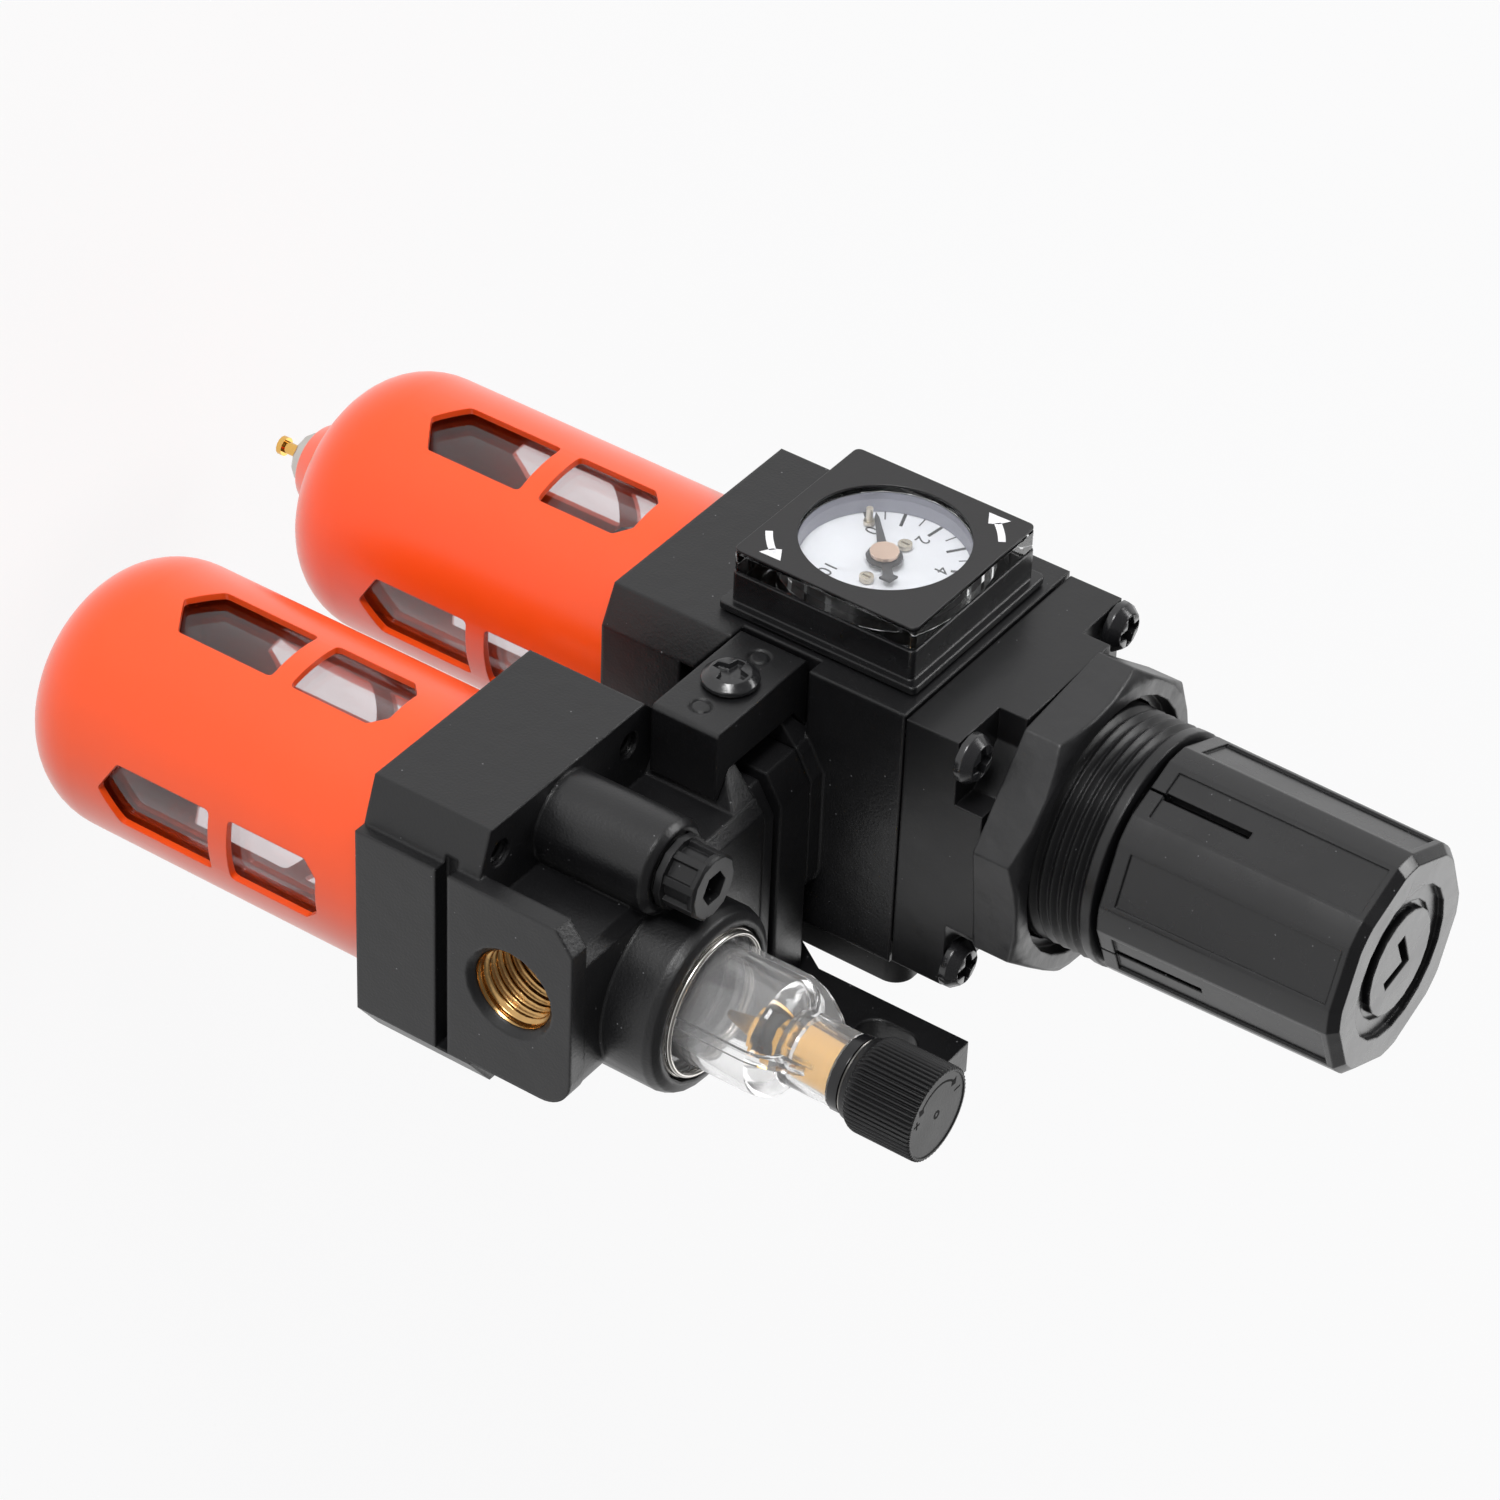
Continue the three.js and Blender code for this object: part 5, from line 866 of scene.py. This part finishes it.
def label_arrows():
    pieces = []
    for turn in (0, 180):
        shaft = band(GAUGE_X, GAUGE_Z, 14.1, 15.05, 123.5 + turn, 139 + turn)
        head = [polar(GAUGE_X, GAUGE_Z, 16.3, 139.2 + turn),
                polar(GAUGE_X, GAUGE_Z, 14.35, 148.6 + turn),
                polar(GAUGE_X, GAUGE_Z, 13.4, 139.8 + turn),
                polar(GAUGE_X, GAUGE_Z, 14.6, 138.0 + turn)]
        pieces.append(prism("arrow_shaft_%d" % turn, shaft, LABEL_FRONT, LABEL_FACE + 0.05, "mark",
                            "y"))
        pieces.append(prism("arrow_head_%d" % turn, head, LABEL_FRONT, LABEL_FACE + 0.05, "mark",
                            "y"))
    return belongs(join_into(pieces[0], pieces[1:]), "unit", "dial_white")


def scale_angle(value):
    return SCALE_START - SCALE_STEP * value


def tick(inner, outer, half, degrees):
    a = math.radians(degrees)
    across = (-math.sin(a) * half, math.cos(a) * half)
    near = polar(GAUGE_X, GAUGE_Z, inner, degrees)
    far = polar(GAUGE_X, GAUGE_Z, outer, degrees)
    return [(near[0] - across[0], near[1] - across[1]), (far[0] - across[0], far[1] - across[1]),
            (far[0] + across[0], far[1] + across[1]), (near[0] + across[0], near[1] + across[1])]


def dial_scale():
    pieces = []
    for step in range(21):
        value = step / 2
        major = step % 2 == 0
        inner, half = (TICK_MAJOR, 0.22) if major else (TICK_MINOR, 0.1)
        outline = tick(inner, TICK_END, half, scale_angle(value))
        pieces.append(prism("tick_%d" % step, outline, DIAL_FACE - 0.03, DIAL_FACE + 0.02, "ink",
                            "y"))
    return belongs(join_into(pieces[0], pieces[1:]), "unit", "pointer_grey")


def dial_number(value):
    curve = bpy.data.curves.new("number_curve_%d" % value, "FONT")
    curve.body = str(value)
    curve.size = NUMBER_SIZE * MM
    curve.align_x = "CENTER"
    curve.align_y = "CENTER"
    curve.extrude = 0.015 * MM
    holder = link(bpy.data.objects.new("number_holder_%d" % value, curve))
    bpy.context.view_layer.update()
    deps = bpy.context.evaluated_depsgraph_get()
    mesh = bpy.data.meshes.new_from_object(holder.evaluated_get(deps))
    bpy.data.objects.remove(holder)
    u, v = polar(GAUGE_X, GAUGE_Z, NUMBER_RING, scale_angle(value))
    place = Matrix.Translation((u * MM, (DIAL_FACE - 0.016) * MM, v * MM))
    mesh.transform(place @ Matrix.Rotation(math.radians(90), 4, "X"))
    mesh.materials.clear()
    mesh.materials.append(MATERIALS["ink"])
    return link(bpy.data.objects.new("dial_number_%d" % value, mesh))


def dial_numbers():
    numbers = [dial_number(value) for value in range(0, 11, 2)]
    return belongs(join_into(numbers[0], numbers[1:]), "unit", "pointer_grey")


def window_wall():
    """The gauge's inner wall between window and dial: pale inside, dark outside."""
    turn = Matrix(((1, 0, 0), (0, 0, -1), (0, 1, 0))).to_4x4()
    skins = []
    for name, inner, outer, skin in (("window_wall", 11.02, 11.1, "wall"),
                                     ("window_skin", 11.11, 11.24, "label")):
        profile = [(inner, WALL_LOW), (inner, WALL_HIGH), (outer, WALL_HIGH), (outer, WALL_LOW)]
        wall = lathe(name, profile, skin, 128)
        wall.data.transform(Matrix.Translation((GAUGE_X * MM, PORT_Y * MM, GAUGE_Z * MM)) @ turn)
        skins.append(belongs(wall, "unit", "pointer_grey"))
    return skins


gauge_label()
label_arrows()
dial_scale()
dial_numbers()
window_wall()


# Floor and background

FLOOR_WHITE = 0.85
WORLD_GREY = (0.46, 0.46, 0.48, 1)
SKY_LOW = 0.12
SKY_HIGH = 0.5
SKY_DIM = 0.16
TARGET = (0, -0.03, 0)


def background_rays(graph, links, path):
    """1 for the rays that see the white background: camera, glossy and transmission rays."""
    seen = add(graph, "ShaderNodeMath", operation="MAXIMUM")
    seen_too = add(graph, "ShaderNodeMath", operation="MAXIMUM")
    links.new(path.outputs["Is Camera Ray"], seen.inputs[0])
    links.new(path.outputs["Is Glossy Ray"], seen.inputs[1])
    links.new(seen.outputs["Value"], seen_too.inputs[0])
    links.new(path.outputs["Is Transmission Ray"], seen_too.inputs[1])
    return seen_too.outputs["Value"]


def make_floor():
    bpy.ops.mesh.primitive_plane_add(size=8.0, location=(0, 0, FLOOR_Z * MM))
    floor = bpy.context.object
    floor.name = "floor"
    material, graph, links, bsdf = shader("floor_white")
    bsdf.inputs["Base Color"].default_value = (0.9, 0.9, 0.9, 1)
    bsdf.inputs["Roughness"].default_value = 0.9
    bsdf.inputs["Specular IOR Level"].default_value = 0.0
    path = graph.new("ShaderNodeLightPath")
    share = add(graph, "ShaderNodeMath", operation="MULTIPLY")
    share.inputs[1].default_value = FLOOR_WHITE
    links.new(background_rays(graph, links, path), share.inputs[0])
    glow = graph.new("ShaderNodeEmission")
    glow.inputs["Strength"].default_value = 1.0
    mix = graph.new("ShaderNodeMixShader")
    links.new(share.outputs["Value"], mix.inputs["Fac"])
    links.new(bsdf.outputs["BSDF"], mix.inputs[1])
    links.new(glow.outputs["Emission"], mix.inputs[2])
    links.new(mix.outputs["Shader"], graph["Material Output"].inputs["Surface"])
    floor.data.materials.append(material)


def make_world():
    world = bpy.data.worlds.new("studio")
    bpy.context.scene.world = world
    world.use_nodes = True
    graph = world.node_tree.nodes
    links = world.node_tree.links
    background = graph["Background"]
    background.inputs["Color"].default_value = WORLD_GREY
    background.inputs["Strength"].default_value = 1.0
    where = graph.new("ShaderNodeTexCoord")
    split = graph.new("ShaderNodeSeparateXYZ")
    links.new(where.outputs["Generated"], split.inputs["Vector"])
    height = add(graph, "ShaderNodeMapRange", interpolation_type="SMOOTHSTEP")
    height.inputs["From Min"].default_value = SKY_LOW
    height.inputs["From Max"].default_value = SKY_HIGH
    height.inputs["To Min"].default_value = 1.0
    height.inputs["To Max"].default_value = SKY_DIM
    links.new(split.outputs["Z"], height.inputs["Value"])
    path = graph.new("ShaderNodeLightPath")
    direct = add(graph, "ShaderNodeMath", operation="MAXIMUM")
    links.new(path.outputs["Is Camera Ray"], direct.inputs[0])
    links.new(height.outputs["Result"], direct.inputs[1])
    white = graph.new("ShaderNodeBackground")
    white.inputs["Color"].default_value = (1, 1, 1, 1)
    links.new(direct.outputs["Value"], white.inputs["Strength"])
    mix = graph.new("ShaderNodeMixShader")
    links.new(background_rays(graph, links, path), mix.inputs["Fac"])
    links.new(background.outputs["Background"], mix.inputs[1])
    links.new(white.outputs["Background"], mix.inputs[2])
    links.new(mix.outputs["Shader"], graph["World Output"].inputs["Surface"])


def area_light(name, place, target, size, power):
    data = bpy.data.lights.new(name, "AREA")
    data.shape = "SQUARE"
    data.size = size
    data.energy = power
    light = link(bpy.data.objects.new(name, data))
    light.location = place
    aim = Vector(target) - Vector(place)
    light.rotation_euler = aim.to_track_quat("-Z", "Y").to_euler()


make_floor()
make_world()
area_light("key_front", (0.38, -1.05, 0.12), TARGET, 0.34, 7.5)
area_light("upper_left", (-0.66, -0.46, 0.62), TARGET, 0.34, 3.0)
area_light("rear_soft", (-0.68, 0.66, 0.46), (0, -0.03, 0.05), 0.5, 1.3)

bpy.context.scene.view_settings.view_transform = "Standard"
